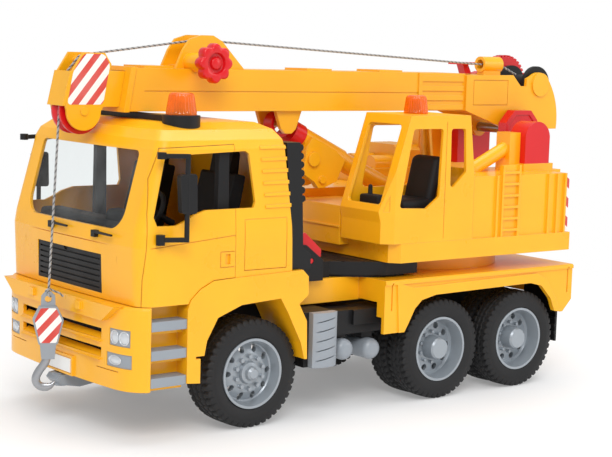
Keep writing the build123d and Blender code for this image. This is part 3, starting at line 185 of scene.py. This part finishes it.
def window_plastic(name):
    """Thin clear screen: mostly see-through, with a soft pale haze and sharp reflections."""
    n = Nodes(name)
    clear = n.add("ShaderNodeBsdfTransparent")
    clear.inputs["Color"].default_value = (0.93, 0.95, 0.95, 1)
    haze = n.add("ShaderNodeBsdfPrincipled", Roughness=0.25)
    smears = grain(n, 30.0, 6.0)
    n.link(mix_colors(n, remap(n, smears, 0, 1), (0.72, 0.75, 0.78), (0.9, 0.92, 0.94)),
           haze.inputs["Base Color"])
    gloss = n.add("ShaderNodeBsdfGlossy", Roughness=0.05)
    body = n.add("ShaderNodeMixShader")
    n.link(remap(n, smears, 0.005, 0.05), body.inputs[0])
    n.link(clear.outputs[0], body.inputs[1])
    n.link(haze.outputs[0], body.inputs[2])
    fresnel = n.add("ShaderNodeFresnel", IOR=1.2)
    geometry = n.add("ShaderNodeNewGeometry")
    front_only = n.add("ShaderNodeMath", operation="SUBTRACT", use_clamp=True)
    n.link(fresnel.outputs[0], front_only.inputs[0])
    n.link(geometry.outputs["Backfacing"], front_only.inputs[1])
    top = n.add("ShaderNodeMixShader")
    n.link(front_only.outputs[0], top.inputs[0])
    n.link(body.outputs[0], top.inputs[1])
    n.link(gloss.outputs[0], top.inputs[2])
    n.link(top.outputs[0], n.out.inputs["Surface"])
    return n.material


def stripes(name, width, slope, centre):
    """A printed sticker of slanting bands that repeat every width metres; a red one runs through centre."""
    n = Nodes(name)
    shader = n.add("ShaderNodeBsdfPrincipled", Roughness=0.35)
    coords = n.add("ShaderNodeTexCoord")
    along = n.add("ShaderNodeVectorMath", operation="DOT_PRODUCT")
    along.inputs[1].default_value = slope
    n.link(coords.outputs["Object"], along.inputs[0])
    scaled = n.add("ShaderNodeMath", operation="DIVIDE")
    scaled.inputs[1].default_value = width
    n.link(along.outputs["Value"], scaled.inputs[0])
    shifted = n.add("ShaderNodeMath", operation="ADD")
    shifted.inputs[1].default_value = 0.25 - centre.dot(Vector(slope)) / width
    n.link(scaled.outputs[0], shifted.inputs[0])
    wave = n.add("ShaderNodeMath", operation="FRACT")
    n.link(shifted.outputs[0], wave.inputs[0])
    band = n.add("ShaderNodeMath", operation="GREATER_THAN")
    band.inputs[1].default_value = 0.5
    n.link(wave.outputs[0], band.inputs[0])
    print_noise = grain(n, 60.0, 4.0)
    colour = mix_colors(n, band.outputs[0], STRIPE_RED, WHITE)
    faded = mix_colors(n, remap(n, print_noise, 0.0, 0.12), colour, (0.8, 0.75, 0.72))
    n.link(faded, shader.inputs["Base Color"])
    bump = n.add("ShaderNodeBump", Strength=0.05, Distance=0.1 * MM)
    n.link(print_noise, bump.inputs["Height"])
    n.link(bump.outputs["Normal"], shader.inputs["Normal"])
    n.link(shader.outputs["BSDF"], n.out.inputs["Surface"])
    return n.material


def cord(name, color):
    """Matt fibres of a twisted rope."""
    n = Nodes(name)
    shader = n.add("ShaderNodeBsdfPrincipled", Roughness=0.75)
    fibre = grain(n, 2600.0, 5.0, 0.7)
    n.link(mix_colors(n, remap(n, fibre, 0, 1), shaded(color, 0.55), color),
           shader.inputs["Base Color"])
    shader.inputs["Sheen Weight"].default_value = 0.3
    bump = n.add("ShaderNodeBump", Strength=0.5, Distance=0.2 * MM)
    n.link(fibre, bump.inputs["Height"])
    n.link(bump.outputs["Normal"], shader.inputs["Normal"])
    n.link(shader.outputs["BSDF"], n.out.inputs["Surface"])
    return n.material


YELLOW = (0.95, 0.45, 0.006)
RED = (0.66, 0.005, 0.009)
BLACK = (0.009, 0.009, 0.0098)
GREY = (0.28, 0.31, 0.345)
WHITE = (0.85, 0.85, 0.83)
STRIPE_RED = (0.62, 0.03, 0.016)

yellow = plastic("yellow_moulding", YELLOW, 0.3, 0.2, edge=0.6, subsurface=0.04, shine=0.42)
deep_yellow = plastic("yellow_working_parts", shaded(YELLOW, 0.95), 0.32, 0.15, edge=0.6, subsurface=0.04,
                      shine=0.42)
red = plastic("red_moulding", RED, 0.3, 0.2, edge=0.6, shine=0.4)
black = plastic("black_moulding", BLACK, 0.46, 0.0, edge=0.5, grain_bump=0.25, wear=0.05, shine=0.28)
soft_black = plastic("black_interior", shaded(BLACK, 1.2), 0.6, 0.0, edge=0.8, grain_bump=0.4, wear=0.04,
                     shine=0.25)
grey = plastic("grey_moulding", GREY, 0.38, 0.1, edge=0.4, wear=0.1)
silver = plastic("silver_rim", (0.33, 0.365, 0.40), 0.34, 0.1, edge=0.4, metallic=0.35, wear=0.2)
rubber = plastic("tyre_rubber", (0.016, 0.016, 0.017), 0.62, 0.0, edge=0.3, grain_bump=0.5, wear=0.03,
                 shine=0.3)
steel = plastic("plated_steel", (0.36, 0.37, 0.39), 0.3, 0.0, edge=0.3, metallic=0.9, wear=0.1)
orange_lens = lens_plastic("orange_lens", (0.98, 0.19, 0.0), 0.5)
lamp_glass = plastic("lamp_lens", (0.6, 0.63, 0.66), 0.12, 0.6, edge=0.3, metallic=0.3)
screen = window_plastic("clear_screen")
rope_grey = cord("rope_cord", (0.5, 0.49, 0.48))
rope_dark = cord("rope_cord_dark", (0.12, 0.12, 0.125))
SLANT = (-0.77, 0.0, 0.64)
stripe_head = stripes("red_white_stripes", 0.0088, SLANT, pt(-96.5, 0, 256.4))
stripe_hook = stripes("red_white_stripes_small", 0.0079, SLANT, pt(-121.4, 0, 77))
stripe_rear = stripes("red_white_stripes_rear", 0.0125, (0.6, 0.0, 0.8), pt(308, 0, 150))
beacon_core = plastic("beacon_reflector", (0.5, 0.12, 0.01), 0.3, 0.2, edge=0.2, wear=0.0)
label_white = plastic("label_white", WHITE, 0.3, 0.3, edge=0.05, wear=0.0)

LOOKS = {
    yellow: "cab_shell door_left door_right front_bumper front_fenders deck turntable crane_cab",
    deep_yellow: "outer_boom rope_bracket boom_head lift_sleeve lift_tube engine_cover inner_boom",
    red: "pivot_caps hoist_covers cab_catch clamp_knob ratchet_wheel pawl_lever cylinder_cap head_pulley",
    black: "chassis_frame deck_plate grille intake_stacks wipers light_bar side_boxes mud_flaps slew_pivot"
           " winch_drum mirror_left mirror_right",
    soft_black: "cab_interior steering_wheel crane_cab_interior",
    grey: "tow_coupling step_treads lamp_units box_covers air_tanks hook_block",
    silver: "front_rims middle_rims rear_rims",
    rubber: "front_tyres middle_tyres rear_tyres",
    steel: "front_axle middle_axle rear_axle boom_pivot_pin hook",
    orange_lens: "beacon_lenses crane_beacon",
    screen: "windscreen",
    rope_grey: "boom_rope hoist_rope",
}
for material, names in LOOKS.items():
    for name in names.split():
        for material_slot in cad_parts[name].material_slots:
            material_slot.link = "OBJECT"
            material_slot.material = material


# ---------------------------------------------------------------- mesh pieces
def piece(name, verts, faces, material, body, smooth=True):
    """A closed mesh from points in metres that rides on a body; None leaves the riding to a blend."""
    mesh = bpy.data.meshes.new(name)
    mesh.from_pydata([tuple(v) for v in verts], [], faces)
    mesh.validate()
    mesh.polygons.foreach_set("use_smooth", [smooth] * len(mesh.polygons))
    mesh.materials.append(material)
    made = bpy.data.objects.new(name, mesh)
    bpy.context.scene.collection.objects.link(made)
    if body:
        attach(made, body)
    return made


def ring_faces(rings, around):
    """Faces of a skin over rings of points, closed at both ends."""
    faces = [tuple(reversed(range(around))), tuple((rings - 1) * around + c for c in range(around))]
    for k in range(rings - 1):
        for c in range(around):
            d = (c + 1) % around
            faces.append((k * around + c, k * around + d, (k + 1) * around + d, (k + 1) * around + c))
    return faces


def circle(around):
    return [2 * math.pi * c / around for c in range(around)]


def slab(name, near, far, material, body):
    """A flat-sided piece between two matching outlines of points."""
    count = len(near)
    faces = [tuple(range(count)), tuple(reversed(range(count, 2 * count)))]
    faces += [(k, k + count, (k + 1) % count + count, (k + 1) % count) for k in range(count)]
    normal = sum((a.cross(b) for a, b in zip(near, near[1:] + near[:1])), Vector())
    if normal.dot(far[0] - near[0]) > 0:
        faces = [tuple(reversed(face)) for face in faces]
    return piece(name, near + far, faces, material, body, smooth=False)


def smoothstep(t):
    t = max(0.0, min(1.0, t))
    return t * t * (3 - 2 * t)


TREAD_LUGS = 44
RINGS_PER_LUG = 8
GROOVE_DEPTH = 1.9
SHOULDER_DEPTH = 1.5
SIPE_DEPTH = 0.7
GROOVES_AT = (-0.42, 0.0, 0.42)


def tread_depth(turn, across):
    """Depth of the tread pattern in mm at a turn in lugs and a place from -1 to 1 across one tyre:
    three zigzag grooves, broad cuts over the shoulders and fine ones in the middle."""
    zigzag = 0.045 * (2 * abs(2 * (turn % 1.0) - 1) - 1)
    depth = 0.0
    for centre in GROOVES_AT:
        off = abs(across - centre - zigzag)
        depth = max(depth, GROOVE_DEPTH * (1 - smoothstep((off - 0.03) / 0.05)))
    off = abs(across)
    shift = 0.5 if across > 0 else 0.0
    cut = abs(((turn + shift + 0.35 * off) % 1.0) - 0.5)
    if off > 0.5:
        reach = smoothstep((off - 0.5) / 0.08)
        depth = max(depth, SHOULDER_DEPTH * reach * (1 - smoothstep((cut - 0.12) / 0.08)))
    else:
        depth = max(depth, SIPE_DEPTH * (1 - smoothstep((cut - 0.05) / 0.05)))
    return depth


def tread_share(radius):
    """How much of the tread depth a sidewall point takes, rising towards the shoulder."""
    return smoothstep((radius - 34.5) / 2.5)


WALL_OUTER = [(0.86, 25.05), (0.92, 26.0), (0.965, 28.2), (1.0, 31.0), (0.995, 33.2), (0.985, 33.4),
              (0.98, 33.9), (0.965, 34.8), (0.94, 36.0), (0.90, 37.1), (0.86, 37.9)]
WALL_INNER = [(0.86, 37.9), (0.90, 37.1), (0.94, 36.0), (0.98, 33.9), (1.0, 31.0), (0.965, 28.2),
              (0.92, 26.0), (0.86, 25.05)]
CROWN_RADIUS, CROWN_DROP, CROWN_REACH, CROWN_STEPS = 38.98, 0.9, 0.83, 44


def tyre_profile(inner, outer):
    """Section of one tyre between two widths, as (width, radius, tread share) points."""
    mid, half = (inner + outer) / 2, (outer - inner) / 2
    points = []
    for along, radius in WALL_OUTER:
        points.append((mid + half * along, radius, tread_share(radius)))
    for step in range(CROWN_STEPS + 1):
        across = CROWN_REACH - 2 * CROWN_REACH * step / CROWN_STEPS
        points.append((mid + half * across, CROWN_RADIUS - CROWN_DROP * across**4, 1.0))
    for along, radius in WALL_INNER:
        points.append((mid - half * along, radius, tread_share(radius)))
    return points, mid, half


def tyre(name, axle, side, spans, body):
    """Tyres of one wheel with their tread cut into the mesh; twin spans make a doubled wheel."""
    verts, faces = [], []
    rings = TREAD_LUGS * RINGS_PER_LUG
    for inner, outer in spans:
        profile, mid, half = tyre_profile(inner, outer)
        base, count = len(verts), len(profile)
        for ring in range(rings):
            turn = ring / RINGS_PER_LUG
            angle = 2 * math.pi * ring / rings
            for width, radius, share in profile:
                r = radius - share * tread_depth(turn, (width - mid) / half)
                verts.append(axle + Vector((r * math.cos(angle), side * width, r * math.sin(angle))) * MM)
        for ring in range(rings):
            after = (ring + 1) % rings
            for k in range(count):
                nxt = (k + 1) % count
                quad = (base + ring * count + k, base + ring * count + nxt, base + after * count + nxt,
                        base + after * count + k)
                faces.append(quad if side < 0 else quad[::-1])
    return piece(name, verts, faces, rubber, body)


for node, axle_node, body, spans in (
        ("front_tyres", "front_axle", "front_wheels", [(57.2, 86.9)]),
        ("middle_tyres", "middle_axle", "middle_wheels", [(45.2, 65.6), (66.4, 86.9)]),
        ("rear_tyres", "rear_axle", "rear_wheels", [(45.2, 65.6), (66.4, 86.9)])):
    axle = middle(axle_node)
    for side, word in ((-1, "left"), (1, "right")):
        made = tyre(f"{node[:-1]}_{word}", axle, side, spans, body)
        if side > 0:
            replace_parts(made, node)


STRANDS, STRAND_SIDES, STRAND_SHARE = 3, 7, 0.56


def twisted(name, path, body, radius=0.9, pitch=4.4, step=0.4):
    """A twisted rope along a path of points, with one strand darker than the others."""
    lengths = [0.0]
    for a, b in zip(path, path[1:]):
        lengths.append(lengths[-1] + (b - a).length)
    total = lengths[-1]
    count = max(8, int(total / (step * MM)))
    centres = []
    for k in range(count + 1):
        want = total * k / count
        i = 0
        while i < len(path) - 2 and lengths[i + 1] < want:
            i += 1
        share = (want - lengths[i]) / (lengths[i + 1] - lengths[i])
        centres.append(path[i].lerp(path[i + 1], share))
    strand, sides = radius * STRAND_SHARE, STRAND_SIDES
    verts, faces = [], []
    up = Vector((0.13, 1.0, 0.07)).normalized()
    for s in range(STRANDS):
        base = len(verts)
        for k, centre in enumerate(centres):
            before, after = centres[max(k - 1, 0)], centres[min(k + 1, count)]
            ahead = (after - before).normalized()
            u = (up - ahead * up.dot(ahead)).normalized()
            v = ahead.cross(u)
            turn = 2 * math.pi * (total * k / count / (pitch * MM) + s / STRANDS)
            core = centre + (u * math.cos(turn) + v * math.sin(turn)) * (radius - strand) * MM
            for c in range(sides):
                angle = 2 * math.pi * c / sides
                verts.append(core + (u * math.cos(angle) + v * math.sin(angle)) * strand * MM)
        for k in range(count):
            for c in range(sides):
                d = (c + 1) % sides
                faces.append((base + k * sides + c, base + k * sides + d, base + (k + 1) * sides + d,
                              base + (k + 1) * sides + c))
        faces.append(tuple(base + c for c in reversed(range(sides))))
        faces.append(tuple(base + count * sides + c for c in range(sides)))
    made = piece(name, verts, faces, rope_grey, body)
    made.data.materials.append(rope_dark)
    per_strand = count * sides + 2
    made.data.polygons.foreach_set("material_index", [1] * per_strand + [0] * (STRANDS - 1) * per_strand)
    return made


def bend_path(points, rounds=3):
    """Corner-cut smoothing of a path."""
    for _ in range(rounds):
        cut = [points[0]]
        for a, b in zip(points, points[1:]):
            cut += [a.lerp(b, 0.25), a.lerp(b, 0.75)]
        points = cut + [points[-1]]
    return points


EYE_X, EYE_Y = -121.1, -12.9
OVER_BOOM = [(334, 248.4), (314, 256.5), (290, 256.5), (6, 269.5), (-89, 257), (-92.3, 255.8),
             (-101.2, 245.4), (-106.3, 224), (-107.2, 219)]
over_boom = twisted("rope_over_boom", [pt(x, 0, z) for x, z in OVER_BOOM], None)
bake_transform(over_boom)
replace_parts(over_boom, "boom_rope")
leaves, eye_top = pt(-107.1, 0, 219), pt(-121.1, -12.8, 94.6)
down = twisted("rope_to_hook", [leaves, eye_top], None)
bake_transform(down)
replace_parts(down, "hoist_rope")
KNOT = [(0, 0.2, 97), (-1.6, -0.7, 95.6), (-1.4, -2.9, 93.4), (0.4, -2.5, 92.6), (1, 1.1, 92.6),
        (-0.4, 2.7, 94.4), (-1.8, 1.1, 96.6), (-0.2, -1.3, 98), (2.2, 0.1, 97), (4.6, -0.3, 95.6),
        (7.4, -0.9, 94.8), (10.2, -1.9, 92)]
knot = bend_path([pt(EYE_X + x, EYE_Y + y, z) for x, y, z in KNOT])
twisted("rope_knot", knot, "hook_weight", radius=0.75)


# ---------------------------------------------------------------- beacons
RIB_DEPTH = 0.35


def ribbed_lens(name, x, y, z, low, high, height, body, ribs=28):
    """A tapered beacon dome with vertical ribs and a rounded crown, as (radius, level, rib share) rings."""
    shell = [(low, 0.0, 0), (low, 0.8, 0), (low - 0.1, 1.6, 0)]
    shell += [(low + (high - low) * k / 8, 1.8 + (height - 4.2) * k / 8, 1) for k in range(9)]
    shell += [(high - 0.3, height - 1.6, 0.6), (high - 1.0, height - 0.7, 0), (high - 2.2, height - 0.15, 0),
              (high - 4.0, height, 0), (0.6, height, 0)]
    around = ribs * 8
    verts = []
    for radius, level, share in shell:
        for angle in circle(around):
            r = radius - share * RIB_DEPTH * (0.5 + 0.5 * math.cos(ribs * angle))
            verts.append(pt(x + r * math.cos(angle), y + r * math.sin(angle), z + level))
    return piece(name, verts, ring_faces(len(shell), around), orange_lens, body)


def turned(name, x, y, z, profile, material, body, axis="z", around=64):
    """A round piece from (radius, level) points about an axis: upwards, or outwards to the left."""
    verts = []
    for radius, level in profile:
        for angle in circle(around):
            a, b = radius * math.cos(angle), radius * math.sin(angle)
            verts.append(pt(x + a, y + b, z + level) if axis == "z" else pt(x + a, y - level, z + b))
    return piece(name, verts, ring_faces(len(profile), around), material, body)


BEACON_X, BEACON_Y = -48, 62
CRANE_BEACON_X, CRANE_BEACON_Y = 165, -62
for side, word in ((-1, "left"), (1, "right")):
    y = side * BEACON_Y
    lens = ribbed_lens(f"roof_beacon_{word}", BEACON_X, y, 218.65, 10.6, 8.8, 15.4, "chassis")
    turned(f"roof_beacon_core_{word}", BEACON_X, y, 218.7, [(4.2, 0), (4.2, 5), (3.0, 7.5), (1.0, 8.6)],
           beacon_core, "chassis")
    turned(f"roof_beacon_ring_{word}", BEACON_X, y, 216.6, [(12.4, 0), (12.4, 1.3), (11.9, 2.0), (10.6, 2.3)],
           soft_black, "chassis", around=48)
    if side > 0:
        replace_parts(lens, "beacon_lenses")
crane_lens = ribbed_lens("crane_cab_beacon", CRANE_BEACON_X, CRANE_BEACON_Y, 219.05, 9.3, 8.0, 14, "platform")
turned("crane_cab_beacon_core", CRANE_BEACON_X, CRANE_BEACON_Y, 219.1,
       [(4.0, 0), (4.0, 6), (3.0, 9), (1.0, 10)], beacon_core, "platform")
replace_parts(crane_lens, "crane_beacon")


# ---------------------------------------------------------------- boom head stickers
def rounded(outline, radius, steps=5):
    """Rounds the corners of an outline of (x, z) points."""
    points = []
    count = len(outline)
    for k in range(count):
        before, corner, after = (Vector(outline[(k + d) % count]) for d in (-1, 0, 1))
        a = corner + (before - corner).normalized() * radius
        b = corner + (after - corner).normalized() * radius
        for s in range(steps + 1):
            t = s / steps
            points.append(tuple((1 - t) ** 2 * a + 2 * t * (1 - t) * corner + t * t * b))
    return points


HEAD_STICKER = rounded([(-107.0, 223.2), (-102.6, 245.7), (-94.4, 257.9), (-78.6, 257.9), (-73.8, 250.9),
                        (-79.2, 223.2)], 3)
for side, word in ((-1, "left"), (1, "right")):
    near, far = ([pt(x, side * y, z) for x, z in HEAD_STICKER] for y in (11.03, 11.15))
    slab(f"boom_head_stripes_{word}", near, far, stripe_head, "boom_slide")


# ---------------------------------------------------------------- clamp knob
KNOB_X, KNOB_FACE_Y, KNOB_Z, KNOB_RADIUS = -7, -35.5, 253.5, 14
KNOB_LOBES, LOBE_DEPTH, KNOB_STEPS = 8, 0.2, 256
KNOB_PROFILE = [(0.3, 0, 0), (0.9, 0, 1), (0.97, 0.3, 1), (1.0, 1.1, 1), (1.0, 6.6, 1), (0.98, 7.5, 1),
                (0.92, 8.2, 0.9), (0.84, 8.5, 0.6), (0.55, 8.5, 0), (0.53, 8.3, 0), (0.51, 5.6, 0),
                (0.49, 5.2, 0), (0.32, 5.2, 0), (0.3, 5.5, 0), (0.29, 7.6, 0), (0.26, 8.1, 0), (0.02, 8.2, 0)]


def lobed_knob():
    """The knob's face has broad round lobes; its profile is (share of radius, level outwards, lobe share)."""
    verts = []
    for share, level, depth in KNOB_PROFILE:
        for angle in circle(KNOB_STEPS):
            crest = math.sqrt(math.cos(KNOB_LOBES / 2 * angle) ** 2 + 0.02)
            r = share * KNOB_RADIUS * (1 - LOBE_DEPTH * depth * (1 - crest))
            verts.append(pt(KNOB_X + r * math.cos(angle), KNOB_FACE_Y - level, KNOB_Z + r * math.sin(angle)))
    faces = ring_faces(len(KNOB_PROFILE), KNOB_STEPS)
    return piece("round_clamp_knob", verts, faces, red, "knob")


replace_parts(lobed_knob(), "clamp_knob")
turned("clamp_collar", KNOB_X, -29, KNOB_Z, [(7.0, 0), (7.0, 5.6), (6.6, 6.2)], deep_yellow, "boom",
       axis="y", around=48)


# ---------------------------------------------------------------- hook block sticker and round hook
HOOK_YAW = math.radians(25)


def hook_pt(u, out, z):
    """A point in the hook block's own side view: u to its right, out towards the viewer."""
    return pt(EYE_X - 0.3 + u * math.cos(HOOK_YAW) - out * math.sin(HOOK_YAW),
              EYE_Y - 0.1 - u * math.sin(HOOK_YAW) - out * math.cos(HOOK_YAW), z)


def hook_plate(name, outline, low, high, material, body):
    near, far = ([hook_pt(u, out, z) for u, z in outline] for out in (low, high))
    return slab(name, near, far, material, body)


BLOCK_FACE = rounded([(-5.2, 84.9), (5.2, 84.9), (9.2, 76.5), (5.6, 60.8), (-5.6, 60.8), (-9.2, 76.5)], 1.2)
hook_plate("hook_block_stripes_near", BLOCK_FACE, 3.31, 3.45, stripe_hook, "hook_weight")
hook_plate("hook_block_stripes_far", BLOCK_FACE, -3.31, -3.45, stripe_hook, "hook_weight")

HOOK_LINE = [(0, 57), (-0.4, 50), (-2.4, 45.5), (-6.4, 40.5), (-8.6, 35), (-6.4, 30.6), (-2.0, 29.2),
             (2.2, 30.2), (4.8, 33.4)]
HOOK_HALF_THICK = 1.55


def hook_radius(share):
    """Half the bar's height in mm along the hook, from its eye at 0 to its tip at 1."""
    if share < 0.25:
        radius = 1.6 + 1.6 * smoothstep(share * 4)
    else:
        radius = 3.2 - 0.7 * abs(share - 0.5) - 2.2 * smoothstep((share - 0.72) / 0.28)
    return max(0.5, min(radius, 2.9))


def bar(name, line, around=20):
    """The hook's bar, flattened on its two sides."""
    path = [hook_pt(p.x, 0.35, p.y) for p in line]
    side = (hook_pt(0, 1, 50) - hook_pt(0, 0, 50)).normalized()
    verts = []
    for k, centre in enumerate(path):
        ahead = (path[min(k + 1, len(path) - 1)] - path[max(k - 1, 0)]).normalized()
        u = (side - ahead * side.dot(ahead)).normalized()
        v = ahead.cross(u)
        high = hook_radius(k / (len(path) - 1))
        wide = min(high, HOOK_HALF_THICK)
        for angle in circle(around):
            verts.append(centre + (u * math.cos(angle) * wide + v * math.sin(angle) * high) * MM)
    return piece(name, verts, ring_faces(len(path), around), steel, "hook")


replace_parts(bar("round_hook", bend_path([Vector(p) for p in HOOK_LINE])), "hook")
boss = [(3.6 * math.cos(angle), 53.4 + 3.6 * math.sin(angle)) for angle in circle(24)]
hook_plate("hook_boss", boss, -1.25, 1.25, steel, "hook")


# ---------------------------------------------------------------- seats and dashboard
def soft_box(name, low, high, round_by, body, steps=4, lean=0.0):
    """A black box with well rounded edges; its top may lean back."""
    bm = bmesh.new()
    bmesh.ops.create_cube(bm, size=1.0)
    size = [b - a for a, b in zip(low, high)]
    for vert in bm.verts:
        vert.co = Vector([(a + b) / 2 + c * d for a, b, c, d in zip(low, high, vert.co, size)])
    bmesh.ops.bevel(bm, geom=bm.edges[:] + bm.verts[:], offset=round_by, segments=steps, affect="EDGES",
                    profile=0.5)
    bm.verts.index_update()
    verts = [pt(v.co.x + lean * (v.co.z - low[2]) / size[2], v.co.y, v.co.z) for v in bm.verts]
    faces = [[v.index for v in face.verts] for face in bm.faces]
    bm.free()
    return piece(name, verts, faces, soft_black, body)


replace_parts(soft_box("crane_cab_floor", (121.6, -86, 123.6), (196, -46, 128), 1.0, "platform", 2),
            "crane_cab_interior")
soft_box("crane_seat_base", (150, -78, 127), (178, -52, 142), 2.0, "platform")
soft_box("crane_seat_cushion", (138, -82, 141), (176, -48, 155.5), 4.6, "platform", 5)
soft_box("crane_seat_back", (163, -80, 148), (173, -50, 187), 4.9, "platform", 6, lean=9)
soft_box("crane_console", (123, -70, 127), (134, -48, 158), 1.6, "platform", 3)
turned("crane_lever", 129, -54, 157, [(2.4, 0), (2.2, 0.8), (1.8, 1.5), (1.7, 6.5), (1.5, 7.6), (0.6, 8.2)],
       soft_black, "platform", around=24)
soft_box("dashboard_top", (-86, -67, 138), (-68, 67, 145.5), 3.2, "chassis")
soft_box("dashboard_hood", (-84, -66, 142), (-70, -22, 153), 4.4, "chassis")
for y, word in ((-45, "left"), (45, "right")):
    soft_box(f"cab_seat_pad_{word}", (-47, y - 19, 128), (-12, y + 19, 134), 2.8, "chassis")

PILLAR_FOOT = [(114.2, -86.4), (118.2, -89.3), (121.5, -89.4), (116.5, -83.5)]
PILLAR_TOP = [(118.3, -89.3), (118.4, -89.35), (122.5, -89.4), (120.5, -86)]
slab("crane_cab_corner", [pt(x, y, 147.6) for x, y in PILLAR_FOOT], [pt(x, y, 160.2) for x, y in PILLAR_TOP],
     yellow, "platform")


# ---------------------------------------------------------------- lamps, plate and rear warning strips
def front_of(node, y, z):
    """How far forward a node's surface stands at a width and height, in mm from the front axle."""
    tree = BVHTree.FromPolygons([v.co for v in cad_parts[node].data.vertices],
                                [p.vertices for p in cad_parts[node].data.polygons])
    hit = tree.ray_cast(pt(-300, y, z), Vector((1, 0, 0)))[0]
    return (hit.x - AXLE_X) / MM


LAMP_PROFILE = [(1.0, 0.0), (1.0, 0.5), (0.9, 0.75), (0.82, 0.55), (0.8, 0.2), (0.72, 0.35), (0.5, 0.75),
                (0.25, 0.95), (0.02, 1.0)]


def round_lamp(name, y, z, across, tall, depth=1.2, around=48):
    """A lamp insert with a raised ring and a domed lens, leaning with the bumper's bow. Its rings run
    clockwise as seen from behind, so that the faces point outwards."""
    near, far = front_of("lamp_units", y - 2, z), front_of("lamp_units", y + 2, z)
    base, lean = (near + far) / 2, (far - near) / 4
    verts = []
    for share, out in LAMP_PROFILE:
        for angle in circle(around):
            dy, dz = share * across * math.cos(angle), -share * tall * math.sin(angle)
            verts.append(pt(base + 0.3 + lean * dy - out * depth, y + dy, z + dz))
    return piece(name, verts, ring_faces(len(LAMP_PROFILE), around), lamp_glass, "chassis")


STRIP = [(305.6, 125), (312.2, 125), (312.2, 168), (305.6, 168)]
for side, word in ((-1, "left"), (1, "right")):
    round_lamp(f"headlamp_inner_{word}", side * 69.9, 72.2, 4.2, 4.9)
    round_lamp(f"headlamp_outer_{word}", side * 78.8, 72.2, 4.2, 4.9)
    round_lamp(f"fog_lamp_{word}", side * 70.4, 56.7, 6.4, 3.4)
    near, far = ([pt(x, side * y, z) for x, z in STRIP] for y in (86.6, 87.8))
    slab(f"rear_warning_strip_{word}", near, far, stripe_rear, "platform")


def front_plate(name, rear, front, half, low, high, material):
    """A plate across the truck, facing forward."""
    near, far = ([pt(x, y, z) for y, z in ((-half, low), (half, low), (half, high), (-half, high))]
                 for x in (rear, front))
    return slab(name, near, far, material, "chassis")


front_plate("blank_number_plate", -107.25, -107.9, 19.5, 39.2, 48.8, label_white)
# painted shade: a black sheet behind the bumper that darkens the openings in it
front_plate("bumper_shade_backing", -89.8, -91, 77, 39, 83, soft_black)


# ---------------------------------------------------------------- stage, light and camera
def area(name, place, aim, side, power):
    lamp = bpy.data.lights.new(name, "AREA")
    lamp.shape = "SQUARE"
    lamp.size = side
    lamp.energy = power
    made = bpy.data.objects.new(name, lamp)
    made.location = place
    made.rotation_euler = (Vector(aim) - Vector(place)).to_track_quat("-Z", "Y").to_euler()
    bpy.context.scene.collection.objects.link(made)


def paper_floor():
    """White paper that fades into the white backdrop away from the truck."""
    n = Nodes("pale_floor")
    shader = n.add("ShaderNodeBsdfPrincipled", Roughness=0.7)
    paper = grain(n, 8.0, 4.0)
    n.link(mix_colors(n, remap(n, paper, 0, 1), (0.9, 0.905, 0.91), (0.93, 0.93, 0.93)),
           shader.inputs["Base Color"])
    place = n.add("ShaderNodeTexCoord")
    away = n.add("ShaderNodeVectorMath", operation="LENGTH")
    n.link(place.outputs["Object"], away.inputs[0])
    far_white = n.add("ShaderNodeEmission", Strength=1.0)
    far_white.inputs["Color"].default_value = (1, 1, 1, 1)
    fade = n.add("ShaderNodeMixShader")
    n.link(remap(n, away.outputs["Value"], 0.25, 1.0, 0.28, 0.75), fade.inputs[0])
    n.link(shader.outputs["BSDF"], fade.inputs[1])
    n.link(far_white.outputs[0], fade.inputs[2])
    n.link(fade.outputs[0], n.out.inputs["Surface"])
    return n.material


FLOOR_REACH = 12
CORNERS = [(-FLOOR_REACH, -FLOOR_REACH, 0), (FLOOR_REACH, -FLOOR_REACH, 0), (FLOOR_REACH, FLOOR_REACH, 0),
           (-FLOOR_REACH, FLOOR_REACH, 0)]
floor_mesh = bpy.data.meshes.new("floor")
floor_mesh.from_pydata(CORNERS, [], [(0, 1, 2, 3)])
floor_mesh.materials.append(paper_floor())
floor = bpy.data.objects.new("floor", floor_mesh)
bpy.context.scene.collection.objects.link(floor)

STUDIO_FILL = 0.62
world = bpy.data.worlds.new("studio")
bpy.context.scene.world = world
world.use_nodes = True
sky = world.node_tree
white = sky.nodes["Background"]
white.inputs["Color"].default_value = (1, 1, 1, 1)
dim = sky.nodes.new("ShaderNodeMath")
dim.operation = "MULTIPLY_ADD"
seen = sky.nodes.new("ShaderNodeLightPath")
sky.links.new(seen.outputs["Is Camera Ray"], dim.inputs[0])
dim.inputs[1].default_value = 1.0 - STUDIO_FILL
dim.inputs[2].default_value = STUDIO_FILL
sky.links.new(dim.outputs[0], white.inputs["Strength"])
area("key_light", (-1.1, -1.5, 1.5), (0, 0, 0.12), 1.0, 26)
area("top_light", (0.2, 0.1, 1.8), (0, 0, 0.1), 1.6, 16)
area("side_light", (1.4, -1.2, 0.8), (0.05, 0, 0.12), 0.9, 5)

RIGHT = Vector((0.78468, -0.61917, 0.03024)).normalized()
UP = Vector((0.05596, 0.11932, 0.99129))
UP = (UP - RIGHT * UP.dot(RIGHT)).normalized()
BACK = RIGHT.cross(UP)
camera_data = bpy.data.cameras.new("camera")
camera_data.lens = 90.56
camera_data.sensor_width = 36.0
camera_data.shift_x = -0.0216
camera_data.shift_y = 0.0264
camera = bpy.data.objects.new("camera", camera_data)
turned_to = Matrix((RIGHT, UP, BACK)).transposed().to_4x4()
camera.matrix_world = Matrix.Translation(pt(-623.7, -940.1, 268.2)) @ turned_to
bpy.context.scene.collection.objects.link(camera)
bpy.context.scene.camera = camera
bpy.context.scene.view_settings.view_transform = "Standard"
